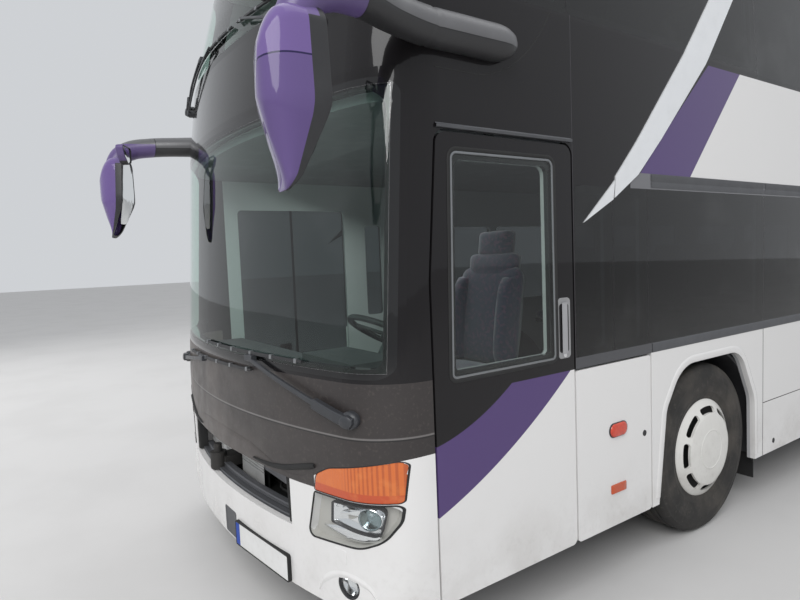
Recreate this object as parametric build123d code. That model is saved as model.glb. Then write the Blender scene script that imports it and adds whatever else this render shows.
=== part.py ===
"""Double-deck touring coach on three axles, built as separate pieces, in millimetres.

+Z is up, the coach faces -Y, its left side is +X and its wheels stand on Z = 0.
Distances along the coach are given aft of the front axle and placed by aft().
"""
from build123d import *
import os
from math import cos, degrees, radians, sin, sqrt, tan

# Overall size and axles
WIDTH = 2550
HEIGHT = 4000
FRONT_AXLE_Y = -4245
WHEELBASE = 6700
TAG_SPACING = 1350
TAG_Y = WHEELBASE + TAG_SPACING
REAR_OVERHANG = 3315
TAIL = TAG_Y + REAR_OVERHANG         # rear face, aft of the front axle
SKIRT_Z = 330         # lower edge of the sides
BUMPER_Z = 310        # lower edge of the front bumper

# Body shell
WALL = 50
GLASS = 10
SEAM = 10             # running gap round doors, flaps and lids
PANE_GAP = 8
FRAME_LAP = 40        # width of glass bonded on the wall round a window
NOSE_RADIUS = 4000    # plan curve of the front
CORNER_RADIUS = 300   # plan curve of its corners
TAIL_RADIUS = 150
WAIST_Z = 2800        # above this the sides lean in
ROOF_HALF = 1232      # half width where the roof curve starts
ROOF_SEAM_Z = 3620
ROOF_RADIUS = 270
CAMBER = 45           # fall of the roof from the middle to its corners
RIDGE_RADIUS = 12000
PILLAR_X = 1235       # outer edge of the windscreens

# Height of each plan section of the nose, and how far it lies ahead of the front axle
NOSE = [  # z, ahead
    (BUMPER_Z - 30, 2545),
    (1020, 2550),
    (1270, 2538),
    (2470, 2460),
    (2860, 2410),
    (3100, 2350),
    (3500, 2242),
    (4100, 2075),
]

# Heights of the bands of the sides
BELT_Z = 1183
LOWER_GLASS = (1236, 2050)
DOOR_TOP_Z = 2240
UPPER_GLASS = (2770, 3590)
UPPER_GLASS_FRONT_Z = 2815

# Decks
LOWER_FLOOR_Z = 700
REAR_PLATFORM_Z = 1160
UPPER_FLOOR_Z = 2390
FLOOR_THICK = 40
RISER_Y = WHEELBASE - 800            # step between the lower floor and the rear platform

# Wheels
TYRE_RADIUS = 515
TYRE_WIDTH = 295
RIM_RADIUS = 286
RIM_WALL = 12
COVER_RADIUS = 296
WHEEL_X = 1085        # centre plane of the outer tyres
TWIN_PITCH = 335
HUB_Z = TYRE_RADIUS
SPINDLE_RADIUS = 40
SPINDLE_FIT = 0.05    # radial clearance of hub on spindle and of knuckle on kingpin
KINGPIN_X = 950
KINGPIN_RADIUS = 16
STEERED_ARCH = 600    # inner radius of the front wheel boxes
FIXED_ARCH = 558
LINER_WALL = 16


def aft(distance):
    """Y of a place given by its distance behind the front axle."""
    return FRONT_AXLE_Y + distance


def outline(corners):
    """Face in a plane from corners (u, v, radius): straight runs with an arc at each rounded corner."""
    count = len(corners)
    starts, mids, ends = [], [], []
    for i in range(count):
        corner = Vector(*corners[i][:2])
        to_last = (Vector(*corners[i - 1][:2]) - corner).normalized()
        to_next = (Vector(*corners[(i + 1) % count][:2]) - corner).normalized()
        radius = corners[i][2]
        if not radius:
            for points in (starts, mids, ends):
                points.append(corner)
            continue
        half = radians(to_last.get_angle(to_next) / 2)
        cut = radius / tan(half)
        centre = corner + (to_last + to_next).normalized() * (radius / sin(half))
        starts.append(corner + to_last * cut)
        mids.append(centre + (corner - centre).normalized() * radius)
        ends.append(corner + to_next * cut)
    edges = []
    for i in range(count):
        if corners[i][2]:
            edges.append(Edge.make_three_point_arc(starts[i], mids[i], ends[i]))
        if (ends[i] - starts[(i + 1) % count]).length > 1e-6:
            edges.append(Edge.make_line(ends[i], starts[(i + 1) % count]))
    return Face(Wire(edges))


def rectangle(u0, u1, v0, v1, radius=0):
    """Rectangular outline with rounded corners."""
    return outline([(u0, v0, radius), (u1, v0, radius), (u1, v1, radius), (u0, v1, radius)])


def side_prism(face, x0, x1):
    """Side-view outline (distance aft, height) made solid from x0 to x1."""
    plane = Plane(origin=(x0, FRONT_AXLE_Y, 0), x_dir=(0, 1, 0), z_dir=(1, 0, 0))
    return Solid.extrude(plane.location * face, Vector(x1 - x0, 0, 0))


def front_prism(face, ahead, behind):
    """Front-view outline (x, height) made solid between two distances aft of the front axle."""
    plane = Plane(origin=(0, aft(ahead), 0), x_dir=(1, 0, 0), z_dir=(0, -1, 0))
    return Solid.extrude(plane.location * face, Vector(0, behind - ahead, 0))


def plan_prism(face, z0, z1):
    """Plan outline (x, distance aft) made solid from z0 to z1."""
    return Solid.extrude(Location((0, FRONT_AXLE_Y, z0)) * face, Vector(0, 0, z1 - z0))


def block(x, y, z):
    """Box from ranges of x, distance aft and height."""
    size = (x[1] - x[0], y[1] - y[0], z[1] - z[0])
    middle = (sum(x) / 2, aft(sum(y) / 2), sum(z) / 2)
    return Pos(*middle) * Box(*size)


def rod(start, end, radius):
    """Round bar between two points (x, distance aft, height)."""
    a = Vector(start[0], aft(start[1]), start[2])
    b = Vector(end[0], aft(end[1]), end[2])
    return Solid.make_cylinder(radius, (b - a).length, Plane(origin=a, z_dir=b - a))


def group(shapes):
    """Several solids as one piece."""
    return Compound([solid for shape in shapes for solid in shape.solids()])


def mirrored(shape):
    """Copy on the other side of the coach."""
    return group([solid.mirror(Plane.YZ) for solid in shape.solids()])


def plan_face(ahead, inset, back):
    """Plan section of the nose, inset from the skin, closed square at distance back."""
    reach = NOSE_RADIUS - CORNER_RADIUS
    corner_x = WIDTH / 2 - CORNER_RADIUS
    drop = sqrt(reach**2 - corner_x**2)
    middle = Vector(0, NOSE_RADIUS - ahead)
    corner = Vector(corner_x, middle.Y - drop)
    lean = (corner - middle).normalized()
    joint = middle + lean * (NOSE_RADIUS - inset)
    bend = corner + (lean + Vector(1, 0)).normalized() * (CORNER_RADIUS - inset)
    side = Vector(WIDTH / 2 - inset, corner.Y)
    flip = lambda p: Vector(-p.X, p.Y)
    rear = Vector(side.X, back)
    edges = [
        Edge.make_line(rear, side),
        Edge.make_three_point_arc(side, bend, joint),
        Edge.make_three_point_arc(joint, Vector(0, inset - ahead), flip(joint)),
        Edge.make_three_point_arc(flip(joint), flip(bend), flip(side)),
        Edge.make_line(flip(side), flip(rear)),
        Edge.make_line(flip(rear), rear),
    ]
    return Face(Wire(edges))


def nose_skin(x, z):
    """Distance aft of the nose's skin at x and height z."""
    reach = NOSE_RADIUS - CORNER_RADIUS
    corner_x = WIDTH / 2 - CORNER_RADIUS
    for (z0, ahead0), (z1, ahead1) in zip(NOSE, NOSE[1:]):
        if z0 <= z <= z1:
            ahead = ahead0 + (ahead1 - ahead0) * (z - z0) / (z1 - z0)
            if abs(x) < corner_x * NOSE_RADIUS / reach:
                return NOSE_RADIUS - ahead - sqrt(NOSE_RADIUS**2 - x**2)
            drop = sqrt(reach**2 - corner_x**2)
            return NOSE_RADIUS - ahead - drop - sqrt(CORNER_RADIUS**2 - (abs(x) - corner_x)**2)


def nose(inset, back):
    """Nose volume: each plan section is carried in a straight slant up to the next."""
    bands = []
    for (z0, ahead0), (z1, ahead1) in zip(NOSE, NOSE[1:]):
        face = Location((0, FRONT_AXLE_Y, z0)) * plan_face(ahead0, inset, back)
        bands.append(Solid.extrude(face, Vector(0, ahead0 - ahead1, z1 - z0)))
    return bands[0].fuse(*bands[1:]).clean()


def body_volume(inset):
    """Whole body as a solid, inset from the skin: nose and trunk cut by the cross and side profiles."""
    back = TAIL - inset
    trunk = plan_prism(
        outline([
            (WIDTH / 2 - inset, -1500, 0),
            (WIDTH / 2 - inset, back, TAIL_RADIUS - inset),
            (inset - WIDTH / 2, back, TAIL_RADIUS - inset),
            (inset - WIDTH / 2, -1500, 0),
        ]),
        NOSE[0][0],
        HEIGHT + 50,
    )
    lean = (WIDTH / 2 - ROOF_HALF) / (ROOF_SEAM_Z - WAIST_Z)
    shoulder_x = WIDTH / 2 - lean * (HEIGHT - CAMBER - WAIST_Z) - inset
    top = HEIGHT - inset
    cross = front_prism(
        outline([
            (WIDTH / 2 - inset, 0, 0),
            (WIDTH / 2 - inset, WAIST_Z, 0),
            (shoulder_x, top - CAMBER, ROOF_RADIUS - inset),
            (0, top, RIDGE_RADIUS),
            (-shoulder_x, top - CAMBER, ROOF_RADIUS - inset),
            (inset - WIDTH / 2, WAIST_Z, 0),
            (inset - WIDTH / 2, 0, 0),
        ]),
        -3200,
        TAIL + 200,
    )
    profile = side_prism(
        outline([
            (-3400, 0, 0),
            (-3400, 2000, 0),
            (-3060 + inset, 2000, 0),
            (-2010 + inset, top, 520 - inset),
            (TAIL - 190 - inset, top, 330 - inset),
            (TAIL + 60 - inset, 2300, 0),
            (TAIL + 60 - inset, 0, 0),
        ]),
        -WIDTH,
        WIDTH,
    )
    return nose(inset, -1200).fuse(trunk).clean() & cross & profile


outer = body_volume(0)
inner = body_volume(WALL)
shell = outer - inner
skin = outer - body_volume(GLASS)
FAR = 1500            # beyond the widest place of the body

# Doors, flaps and windows in side view: distance aft and height
door_opening = outline([
    (-2115, SKIRT_Z - 50, 0), (-1253, SKIRT_Z - 50, 0), (-1253, DOOR_TOP_Z, 60),
    (-2066, DOOR_TOP_Z, 60), (-2115, 1650, 200),
])
door_panel = outline([
    (-2115 + SEAM, SKIRT_Z, 0), (-1253 - SEAM, SKIRT_Z, 30), (-1253 - SEAM, DOOR_TOP_Z - SEAM, 50),
    (-2066 + SEAM, DOOR_TOP_Z - SEAM, 50), (-2115 + SEAM, 1650, 200),
])
door_glass = outline([
    (-2025, 1236, 50), (-1377, 1236, 50), (-1377, 2170, 70), (-2000, 2170, 70),
])
door_window = outline([
    (-2025 + FRAME_LAP, 1236 + FRAME_LAP, 20), (-1377 - FRAME_LAP, 1236 + FRAME_LAP, 20),
    (-1377 - FRAME_LAP, 2170 - FRAME_LAP, 40), (-2000 + FRAME_LAP, 2170 - FRAME_LAP, 40),
])
SERVICE_FLAP = (-1253, -629, SKIRT_Z, BELT_Z)            # aft from, aft to, low, high
LUGGAGE_FLAP = (TAG_Y + 650, TAIL - 665, 420, 1900)
MID_DOOR = (RISER_Y - 1550, RISER_Y - 250, SKIRT_Z, 2100)
FRONT_DOOR = (-2050, -950, SKIRT_Z, DOOR_TOP_Z)
ENGINE_LID = (-1020, 1020, 480, 1750)                    # x from, x to, low, high
REAR_WINDOW = (-980, 980, 2830, 3560)


def flap(place, gap):
    """Rectangle of a flap or of its opening, smaller by the gap on every side."""
    return rectangle(place[0] + gap, place[1] - gap, place[2] + gap, place[3] - gap, 25)


def arch_opening(axle):
    """Wheel opening in side view about an axle at the given distance aft."""
    return outline([
        (axle - 575, SKIRT_Z - 60, 0), (axle + 540, SKIRT_Z - 60, 0), (axle + 530, 740, 200),
        (axle + 345, 1076, 200), (axle - 330, 1076, 250), (axle - 490, 850, 160),
    ])


# Panes in side view: aft from, aft to, low, high, on the left side, on the right side
LOWER_PITCH = (WHEELBASE - 12) / 4
UPPER_PITCH = (TAIL - 925) / 6
lower_panes = [(-1243, -955), (-947, -655), (-647, 645)]
lower_panes += [(645 + PANE_GAP + LOWER_PITCH * i, 645 + LOWER_PITCH * (i + 1)) for i in range(4)]
upper_panes = [(-1267, 545)]
upper_panes += [(545 + PANE_GAP + UPPER_PITCH * i, 545 + UPPER_PITCH * (i + 1)) for i in range(6)]
CORNER_PANE = (-1975, -1700, -1275)     # aft from at the bottom, at the top, and aft to


def pane_rows():
    """Every fixed side window as (aft from, aft to, low, high, side)."""
    rows = []
    for side in (1, -1):
        for a, b in lower_panes:
            if side < 0 and a < -950:
                continue
            if side < 0 and b > MID_DOOR[0] - 60 and a < MID_DOOR[1] + 60:
                pieces = [(a, MID_DOOR[0] - 70), (MID_DOOR[1] + 70, b)]
                rows += [(p, q, *LOWER_GLASS, side) for p, q in pieces if q - p > 300]
            else:
                rows.append((max(a, -880) if side < 0 else a, b, *LOWER_GLASS, side))
        for a, b in upper_panes:
            low = UPPER_GLASS_FRONT_Z if b < 600 else UPPER_GLASS[0]
            rows.append((a, b, low, UPPER_GLASS[1], side))
    return rows


def corner_pane(lap, radius):
    """Foremost upper window, its front edge slanted as the nose is, smaller by lap all round."""
    low, high, back = CORNER_PANE
    return outline([
        (low + lap, UPPER_GLASS_FRONT_Z + lap, radius), (back - lap, UPPER_GLASS_FRONT_Z + lap, radius),
        (back - lap, UPPER_GLASS[1] - lap, radius), (high + lap, UPPER_GLASS[1] - lap, radius),
    ])


side_skin = {s: skin & block(sorted((s * 1150, s * FAR)), (-2300, TAIL), (1000, 3700)) for s in (1, -1)}
panes, pane_holes = {1: [], -1: []}, {1: [], -1: []}
for a, b, low, high, side in pane_rows():
    reach = sorted((side * 1100, side * FAR))
    panes[side].append(side_skin[side] & side_prism(rectangle(a, b, low, high, 30), *reach))
    lap = FRAME_LAP if b - a > 400 else 30
    hole = rectangle(a + lap, b - lap, low + lap, high - lap, 25)
    pane_holes[side].append(side_prism(hole, *reach))

for side in (1, -1):
    reach = sorted((side * 1100, side * FAR))
    panes[side].append(side_skin[side] & side_prism(corner_pane(0, 30), *reach))
    pane_holes[side].append(side_prism(corner_pane(FRAME_LAP, 25), *reach))

# Windscreens and front panels in front view: x and height
APRON_TOP_Z = 1262
LOWER_SCREEN = (1278, 2432, PILLAR_X)         # low, high, half width at the top
UPPER_SCREEN = (2820, 3555, PILLAR_X - 40)


def screen(place, radius):
    """Outline of a windscreen."""
    low, high, top_x = place
    return outline([(-PILLAR_X, low, 60), (PILLAR_X, low, 60), (top_x, high, radius), (-top_x, high, radius)])


def inset_screen(place):
    """See-through part of a windscreen, inside its bonded edge."""
    low, high, top_x = place
    lap = FRAME_LAP
    return outline([
        (lap - PILLAR_X, low + lap, 40), (PILLAR_X - lap, low + lap, 40),
        (top_x - lap, high - lap, 80), (lap - top_x, high - lap, 80),
    ])


MASK_EDGE = [  # x, z, radius of the lower edge of the black apron, right half
    (1300, 975, 0), (965, 894, 200), (805, 817, 120), (704, 798, 90), (380, 878, 500), (0, 897, 3000),
]
mask_area = outline(
    MASK_EDGE
    + [(-x, z, r) for x, z, r in reversed(MASK_EDGE[:-1])]
    + [(-1300, APRON_TOP_Z, 0), (1300, APRON_TOP_Z, 0)]
)
OPENING_HALF = 700
OPENING_Z = (585, 915)
headlamp_area = outline([
    (871, 781, 30), (1245, 785, 40), (1240, 715, 60), (1199, 635, 80), (1121, 599, 60), (817, 575, 30),
])
indicator_area = outline([
    (901, 788, 20), (1247, 792, 20), (1255, 942, 40), (1058, 914, 150), (908, 840, 40),
])
FOG_LAMP = (1046, 426, 56)     # x, z, radius
FRONT_SEAM_Y = -2115
BUMPER_SEAM_X = (895, 960)    # below and above the middle of the headlamps
BUMPER_STEP_Z = 700

NOSE_DEPTH = (-3000, FRONT_SEAM_Y)
front_zone = block((-FAR, FAR), NOSE_DEPTH, (BUMPER_Z, 2000))
pillar_zone = block((-FAR, FAR), (-3000, FRONT_SEAM_Y), (APRON_TOP_Z, ROOF_SEAM_Z))
side_seam_zone = block((-FAR, FAR), (FRONT_SEAM_Y, TAIL - 150), (SKIRT_Z, ROOF_SEAM_Z))
seam_heights = [APRON_TOP_Z] + [z for z, _ in NOSE if APRON_TOP_Z < z < ROOF_SEAM_Z] + [ROOF_SEAM_Z]
pillar_seam = [(nose_skin(PILLAR_X + 15, z), z, 0) for z in seam_heights]
frame_zone = side_prism(
    outline([(-3000, APRON_TOP_Z, 0), *pillar_seam, (-3000, ROOF_SEAM_Z, 0)]), -FAR, FAR
)


def side_wall(side):
    """Whole side of the coach with its front pillar, cut for windows, doors, flaps and wheels."""
    half = block(sorted((side * 1120, side * FAR)), (-3000, TAIL + 100), (0, HEIGHT + 100))
    zone = side_seam_zone.fuse(pillar_zone)
    wall = ((shell & half) & zone) - frame_zone
    reach = sorted((side * 1100, side * FAR))
    cuts = [side_prism(arch_opening(a), *reach) for a in (0, WHEELBASE, WHEELBASE + TAG_SPACING)]
    cuts += [side_prism(flap(LUGGAGE_FLAP, 0), *reach)]
    if side > 0:
        cuts += [side_prism(door_opening, *reach)]
        cuts += [side_prism(rectangle(-1260, SERVICE_FLAP[1], SKIRT_Z - 50, BELT_Z), *reach)]
    else:
        cuts += [side_prism(rectangle(*FRONT_DOOR[:2], SKIRT_Z - 50, FRONT_DOOR[3], 0), *reach)]
        cuts += [side_prism(rectangle(*MID_DOOR[:2], SKIRT_Z - 50, MID_DOOR[3], 0), *reach)]
    wall = wall - cuts
    wall = wall - panes[side]
    return wall - pane_holes[side]


side_wall_left = side_wall(1)
side_wall_right = side_wall(-1)

# Left driver's door, flaps and lid
left_reach = (1100, FAR)
driver_window = (side_skin[1] & side_prism(door_glass, *left_reach))
driver_door = (shell & side_prism(door_panel, *left_reach)) - driver_window - side_prism(door_window, *left_reach)
driver_door = driver_door.fuse(rod((1262, -1330, 1262), (1262, -1330, 1515), 10))
service_flap = shell & side_prism(
    rectangle(-1253 + 1, SERVICE_FLAP[1] - SEAM, SKIRT_Z, BELT_Z - SEAM, 20), *left_reach
)
luggage_flap_left = shell & side_prism(flap(LUGGAGE_FLAP, SEAM), *left_reach)
luggage_flap_right = mirrored(luggage_flap_left)

# Right passenger doors: frame with one tall pane each
right_reach = (-FAR, -1100)
door_frames, door_panes = [], []
for place in (FRONT_DOOR, MID_DOOR):
    a, b, low, high = place
    frame_face = rectangle(a, b, low, high)
    glass_face = rectangle(a + 60, b - 60, low + 260, high - 60, 60)
    light_face = rectangle(a + 60 + FRAME_LAP, b - 60 - FRAME_LAP, low + 300, high - 100, 30)
    glass = skin & side_prism(glass_face, *right_reach)
    door_frames.append((shell & side_prism(frame_face, *right_reach)) - glass - side_prism(light_face, *right_reach))
    door_panes.append(glass)

# Front: screens, panel between them, apron, bumper and lamps
front_skin = skin & block((-FAR, FAR), (-3000, -1900), (1000, 3700))
screens = [front_skin & front_prism(screen(*place), -3000, -1700) for place in ((LOWER_SCREEN, 70), (UPPER_SCREEN, 120))]
screen_lights = [front_prism(inset_screen(place), -3000, -1700) for place in (LOWER_SCREEN, UPPER_SCREEN)]
front_frame = ((shell & frame_zone) - screens) - screen_lights

low_front = (shell & front_zone) & block((-FAR, FAR), NOSE_DEPTH, (BUMPER_Z, APRON_TOP_Z))
mask_prism = front_prism(mask_area, -3000, FRONT_SEAM_Y)
front_apron = low_front & mask_prism
opening_prism = block((-OPENING_HALF, OPENING_HALF), (-3000, -2200), OPENING_Z)
lamp_prisms = [front_prism(f, -3000, -2000) for f in (headlamp_area, indicator_area)]
headlamp, indicator = [(low_front & p) - mask_prism for p in lamp_prisms]
fog_x, fog_z, fog_r = FOG_LAMP
fog_hole = front_prism(Pos(fog_x, fog_z) * Circle(fog_r).face(), -3000, -2000)
fog_lamp = low_front & fog_hole
bumper = low_front - mask_prism - opening_prism - lamp_prisms - [mirrored(p) for p in lamp_prisms]
centre_zone = block((-BUMPER_SEAM_X[0], BUMPER_SEAM_X[0]), NOSE_DEPTH, (0, BUMPER_STEP_Z + 1)).fuse(
    block((-BUMPER_SEAM_X[1], BUMPER_SEAM_X[1]), NOSE_DEPTH, (BUMPER_STEP_Z, 2000))
)
front_bumper = bumper & centre_zone
bumper_corners = (bumper - centre_zone) - fog_hole - mirrored(fog_hole)

# Rear wall with engine lid, window and lamps
rear_zone = block((-FAR, FAR), (TAIL - 150, TAIL + 200), (SKIRT_Z, ROOF_SEAM_Z))
rear_reach = (TAIL - 400, TAIL + 200)
rear_glass = skin & front_prism(rectangle(*REAR_WINDOW, 80), *rear_reach)
rear_light = front_prism(
    rectangle(REAR_WINDOW[0] + 45, REAR_WINDOW[1] - 45, REAR_WINDOW[2] + 45, REAR_WINDOW[3] - 45, 50), *rear_reach
)
tail_area = rectangle(1090, 1215, 820, 1700, 40)
tail_prism = front_prism(tail_area, *rear_reach)
tail_lamp = (shell & rear_zone) & tail_prism
rear_wall = (shell & rear_zone) - front_prism(flap(ENGINE_LID, 0), *rear_reach) - rear_glass - rear_light
rear_wall = rear_wall - tail_prism - mirrored(tail_prism)
engine_lid = shell & front_prism(flap(ENGINE_LID, SEAM), *rear_reach)

roof = shell & block((-FAR, FAR), (-3000, TAIL + 200), (ROOF_SEAM_Z, HEIGHT + 100))

# Floors
GRILLE_Y = -2390
GRILLE_THICK = 6
lower_floor = inner & block((-FAR, FAR), (GRILLE_Y + GRILLE_THICK, RISER_Y), (LOWER_FLOOR_Z - FLOOR_THICK, LOWER_FLOOR_Z))
wheel_box_cut = [
    block(sorted((s * 530, s * FAR)), (-(STEERED_ARCH + LINER_WALL), STEERED_ARCH + LINER_WALL), (0, 1000))
    for s in (1, -1)
]
lower_floor = lower_floor - wheel_box_cut
lower_floor = lower_floor - block((WIDTH / 2 - WALL - SEAM, FAR), (-2150, SERVICE_FLAP[1] + SEAM), (0, 1000))
platform = inner & block((-FAR, FAR), (RISER_Y, TAIL), (REAR_PLATFORM_Z - FLOOR_THICK, REAR_PLATFORM_Z))
riser = inner & block((-FAR, FAR), (RISER_Y, RISER_Y + FLOOR_THICK), (LOWER_FLOOR_Z - FLOOR_THICK, REAR_PLATFORM_Z))
lower_floor = lower_floor.fuse(platform, riser).clean()
STAIR = (480, 1150, 2300, 3850)      # x from, x to, aft from, aft to
upper_floor = inner & block((-FAR, FAR), (-3000, TAIL), (UPPER_FLOOR_Z - FLOOR_THICK, UPPER_FLOOR_Z))
upper_floor = upper_floor - block(STAIR[:2], STAIR[2:], (0, HEIGHT + 100))

# Staircase: solid steps up to the upper floor
STEPS = 7
rise = (UPPER_FLOOR_Z - LOWER_FLOOR_Z) / (STEPS + 1)
tread = (STAIR[3] - STAIR[2]) / STEPS
stair_points = [(STAIR[2], LOWER_FLOOR_Z, 0)]
for i in range(STEPS):
    stair_points.append((STAIR[2] + tread * i, LOWER_FLOOR_Z + rise * (i + 1), 0))
    stair_points.append((STAIR[2] + tread * (i + 1), LOWER_FLOOR_Z + rise * (i + 1), 0))
stair_points.append((STAIR[3], UPPER_FLOOR_Z - FLOOR_THICK - 250, 0))
stair_points.append((STAIR[2] + tread, LOWER_FLOOR_Z, 0))
staircase = side_prism(outline(stair_points[1:]), STAIR[0], STAIR[1] - 60)

# Seats: cushion, back and pedestal in one side-view outline
SEAT_ROWS = [  # floor height, first row aft, rows, pitch, seat pair on the left, on the right
    (LOWER_FLOOR_Z, 4050, 2, 830, True, False),
    (LOWER_FLOOR_Z, 1100, 4, 830, False, True),
    (UPPER_FLOOR_Z, -700, 3, 850, True, True),
    (UPPER_FLOOR_Z, 4100, 8, 830, True, True),
    (UPPER_FLOOR_Z, 1850, 2, 850, False, True),
]


def seat_pair(side, place, floor_z):
    """Two seats side by side on one pedestal, facing forward."""
    face = outline([
        (place, floor_z + 330, 40), (place, floor_z + 450, 50), (place + 400, floor_z + 430, 0),
        (place + 520, floor_z + 1080, 40), (place + 620, floor_z + 1070, 40), (place + 500, floor_z + 330, 40),
        (place + 330, floor_z + 330, 0), (place + 330, floor_z, 0), (place + 180, floor_z, 0),
        (place + 180, floor_z + 330, 0),
    ])
    return side_prism(face, *sorted((side * 260, side * 1160)))


passenger_seats = group([
    seat_pair(side, first + pitch * i, floor_z)
    for floor_z, first, rows, pitch, left, right in SEAT_ROWS
    for side, used in ((1, left), (-1, right)) if used
    for i in range(rows)
])
DRIVER_X = 640
driver_seat = block((DRIVER_X - 240, DRIVER_X + 240), (-1680, -1230), (1030, 1150))
driver_seat = driver_seat.fuse(side_prism(
    outline([(-1300, 1100, 0), (-1180, 1100, 30), (-1080, 1880, 40), (-1190, 1880, 40)]),
    DRIVER_X - 240, DRIVER_X + 240,
))
driver_seat = driver_seat.fuse(block((DRIVER_X - 150, DRIVER_X + 150), (-1600, -1300), (LOWER_FLOOR_Z, 1030)))

# Dashboard with the steering column
COLUMN_TILT = 30
column_top = (DRIVER_X, -1880, 1330)
column_dir = Vector(0, sin(radians(COLUMN_TILT)), cos(radians(COLUMN_TILT)))
dashboard = inner & block((-1150, 1150), (-3000, -2000), (1080, 1200))
dashboard = dashboard.fuse(block((-1000, 1000), (-2150, -2060), (LOWER_FLOOR_Z, 1200)))
dashboard = dashboard.fuse(block((DRIVER_X - 250, DRIVER_X + 250), (-2250, -1990), (1150, 1290)))
column_start = Vector(DRIVER_X, aft(column_top[1]), column_top[2]) - column_dir * 330
dashboard = dashboard.fuse(Solid.make_cylinder(35, 330, Plane(origin=column_start, z_dir=column_dir)))
WHEEL_RING = 230
column_end = Vector(DRIVER_X, aft(column_top[1]), column_top[2])
steering_plane = Plane(origin=column_end + column_dir * 25, x_dir=(1, 0, 0), z_dir=column_dir)
steering_wheel = steering_plane * Torus(WHEEL_RING, 15)
steering_wheel = steering_wheel.fuse(steering_plane * Pos(0, 0, -4.7) * Cylinder(55, 40))
for angle in (90, 210, 330):
    spoke = steering_plane * Rot(0, 0, angle) * Pos(WHEEL_RING / 2, 0, 0) * Box(WHEEL_RING, 34, 14)
    steering_wheel = steering_wheel.fuse(spoke)

# Chassis: front rails under the low floor, rear rails under the platform, posts and cross members
RAIL_X = (380, 460)
RAIL_LOW = (520, LOWER_FLOOR_Z - FLOOR_THICK)
RAIL_HIGH = (820, REAR_PLATFORM_Z - FLOOR_THICK)
chassis = []
for s in (1, -1):
    rail_x = sorted((s * RAIL_X[0], s * RAIL_X[1]))
    chassis.append(block(rail_x, (-2300, RISER_Y + 100), RAIL_LOW))
    chassis.append(block(rail_x, (RISER_Y + FLOOR_THICK, TAIL - 160), RAIL_HIGH))
    chassis.append(block(rail_x, (RISER_Y + FLOOR_THICK, RISER_Y + 160), (RAIL_LOW[0], RAIL_HIGH[1])))
for place in (-2260, -1500, -750, 750, 1800, 2900, 4000, RISER_Y - 900, RISER_Y - 100):
    chassis.append(block((-RAIL_X[0], RAIL_X[0]), (place - 30, place + 30), (RAIL_LOW[0], RAIL_LOW[1])))
for place in (RISER_Y + 90, WHEELBASE + 630, TAG_Y + 650, TAIL - 215):
    chassis.append(block((-RAIL_X[0], RAIL_X[0]), (place - 30, place + 30), (RAIL_HIGH[0], RAIL_HIGH[1] - 40)))
OUTRIGGER_X = WIDTH / 2 - WALL - SEAM
for place in (-1800, 1400, 3400, RISER_Y - 600):
    along = (place - 25, place + 25)
    chassis.append(block((-OUTRIGGER_X, OUTRIGGER_X), along, (600, LOWER_FLOOR_Z - FLOOR_THICK)))
for place in (RISER_Y + 150, TAG_Y + 570, TAIL - 365):
    along = (place - 25, place + 25)
    chassis.append(block((-OUTRIGGER_X, OUTRIGGER_X), along, (1060, REAR_PLATFORM_Z - FLOOR_THICK)))
COUPLING_X = -250
chassis.append(block((COUPLING_X - 60, COUPLING_X + 60), (-2480, -2230), (600, 660)))
chassis.append(rod((COUPLING_X, -2500, 592), (COUPLING_X, -2500, 685), 45))
chassis.append(rod((COUPLING_X, -2500, 685), (COUPLING_X, -2500, 730), 22))
chassis.append(block((-300, -130), (-2260, -2200), (520, 660)))
chassis_frame = chassis[0].fuse(*chassis[1:]).clean()

# Grille behind the missing flap
grille_holes = [
    Pos(x, z) * Rectangle(34, 22)
    for x in range(-650, 651, 50) for z in range(605, 920, 36)
]
front_grille = Plane(origin=(0, aft(GRILLE_Y), 0), x_dir=(1, 0, 0), z_dir=(0, -1, 0)) * (
    Pos(0, 745) * Rectangle(2 * OPENING_HALF + 40, 390) - grille_holes - Pos(COUPLING_X, 660) * Rectangle(150, 190)
)
front_grille = Solid.extrude(front_grille.faces()[0], Vector(0, GRILLE_THICK, 0))

# Axles
FORK_REACH = 35
front_axle = [block((-860, 860), (-60, 60), (300, 400))]
kingpins = []
for s in (1, -1):
    front_axle.append(block(sorted((s * 800, s * 860)), (-55, 55), (300, 690)))
    front_axle.append(block(sorted((s * 800, s * (KINGPIN_X + FORK_REACH))), (-50, 50), (370, 400)))
    front_axle.append(block(sorted((s * 800, s * (KINGPIN_X + FORK_REACH))), (-50, 50), (630, 660)))
    front_axle.append(rod((s * KINGPIN_X, 0, 380), (s * KINGPIN_X, 0, 650), KINGPIN_RADIUS))
    front_axle.append(rod((s * 420, 0, 400), (s * 420, 0, RAIL_LOW[0]), 90))
front_axle = front_axle[0].fuse(*front_axle[1:]).clean()


def dead_spindle(place, x_in, x_out):
    """Fixed stub on each side that a wheel turns on."""
    return [rod((s * x_in, place, HUB_Z), (s * x_out, place, HUB_Z), SPINDLE_RADIUS) for s in (1, -1)]


def bellows(place, low, high):
    """Air springs between an axle and the rails, ahead of and behind it."""
    return [
        rod((s * 420, place + d, low), (s * 420, place + d, high), 115) for s in (1, -1) for d in (-240, 240)
    ]


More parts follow.
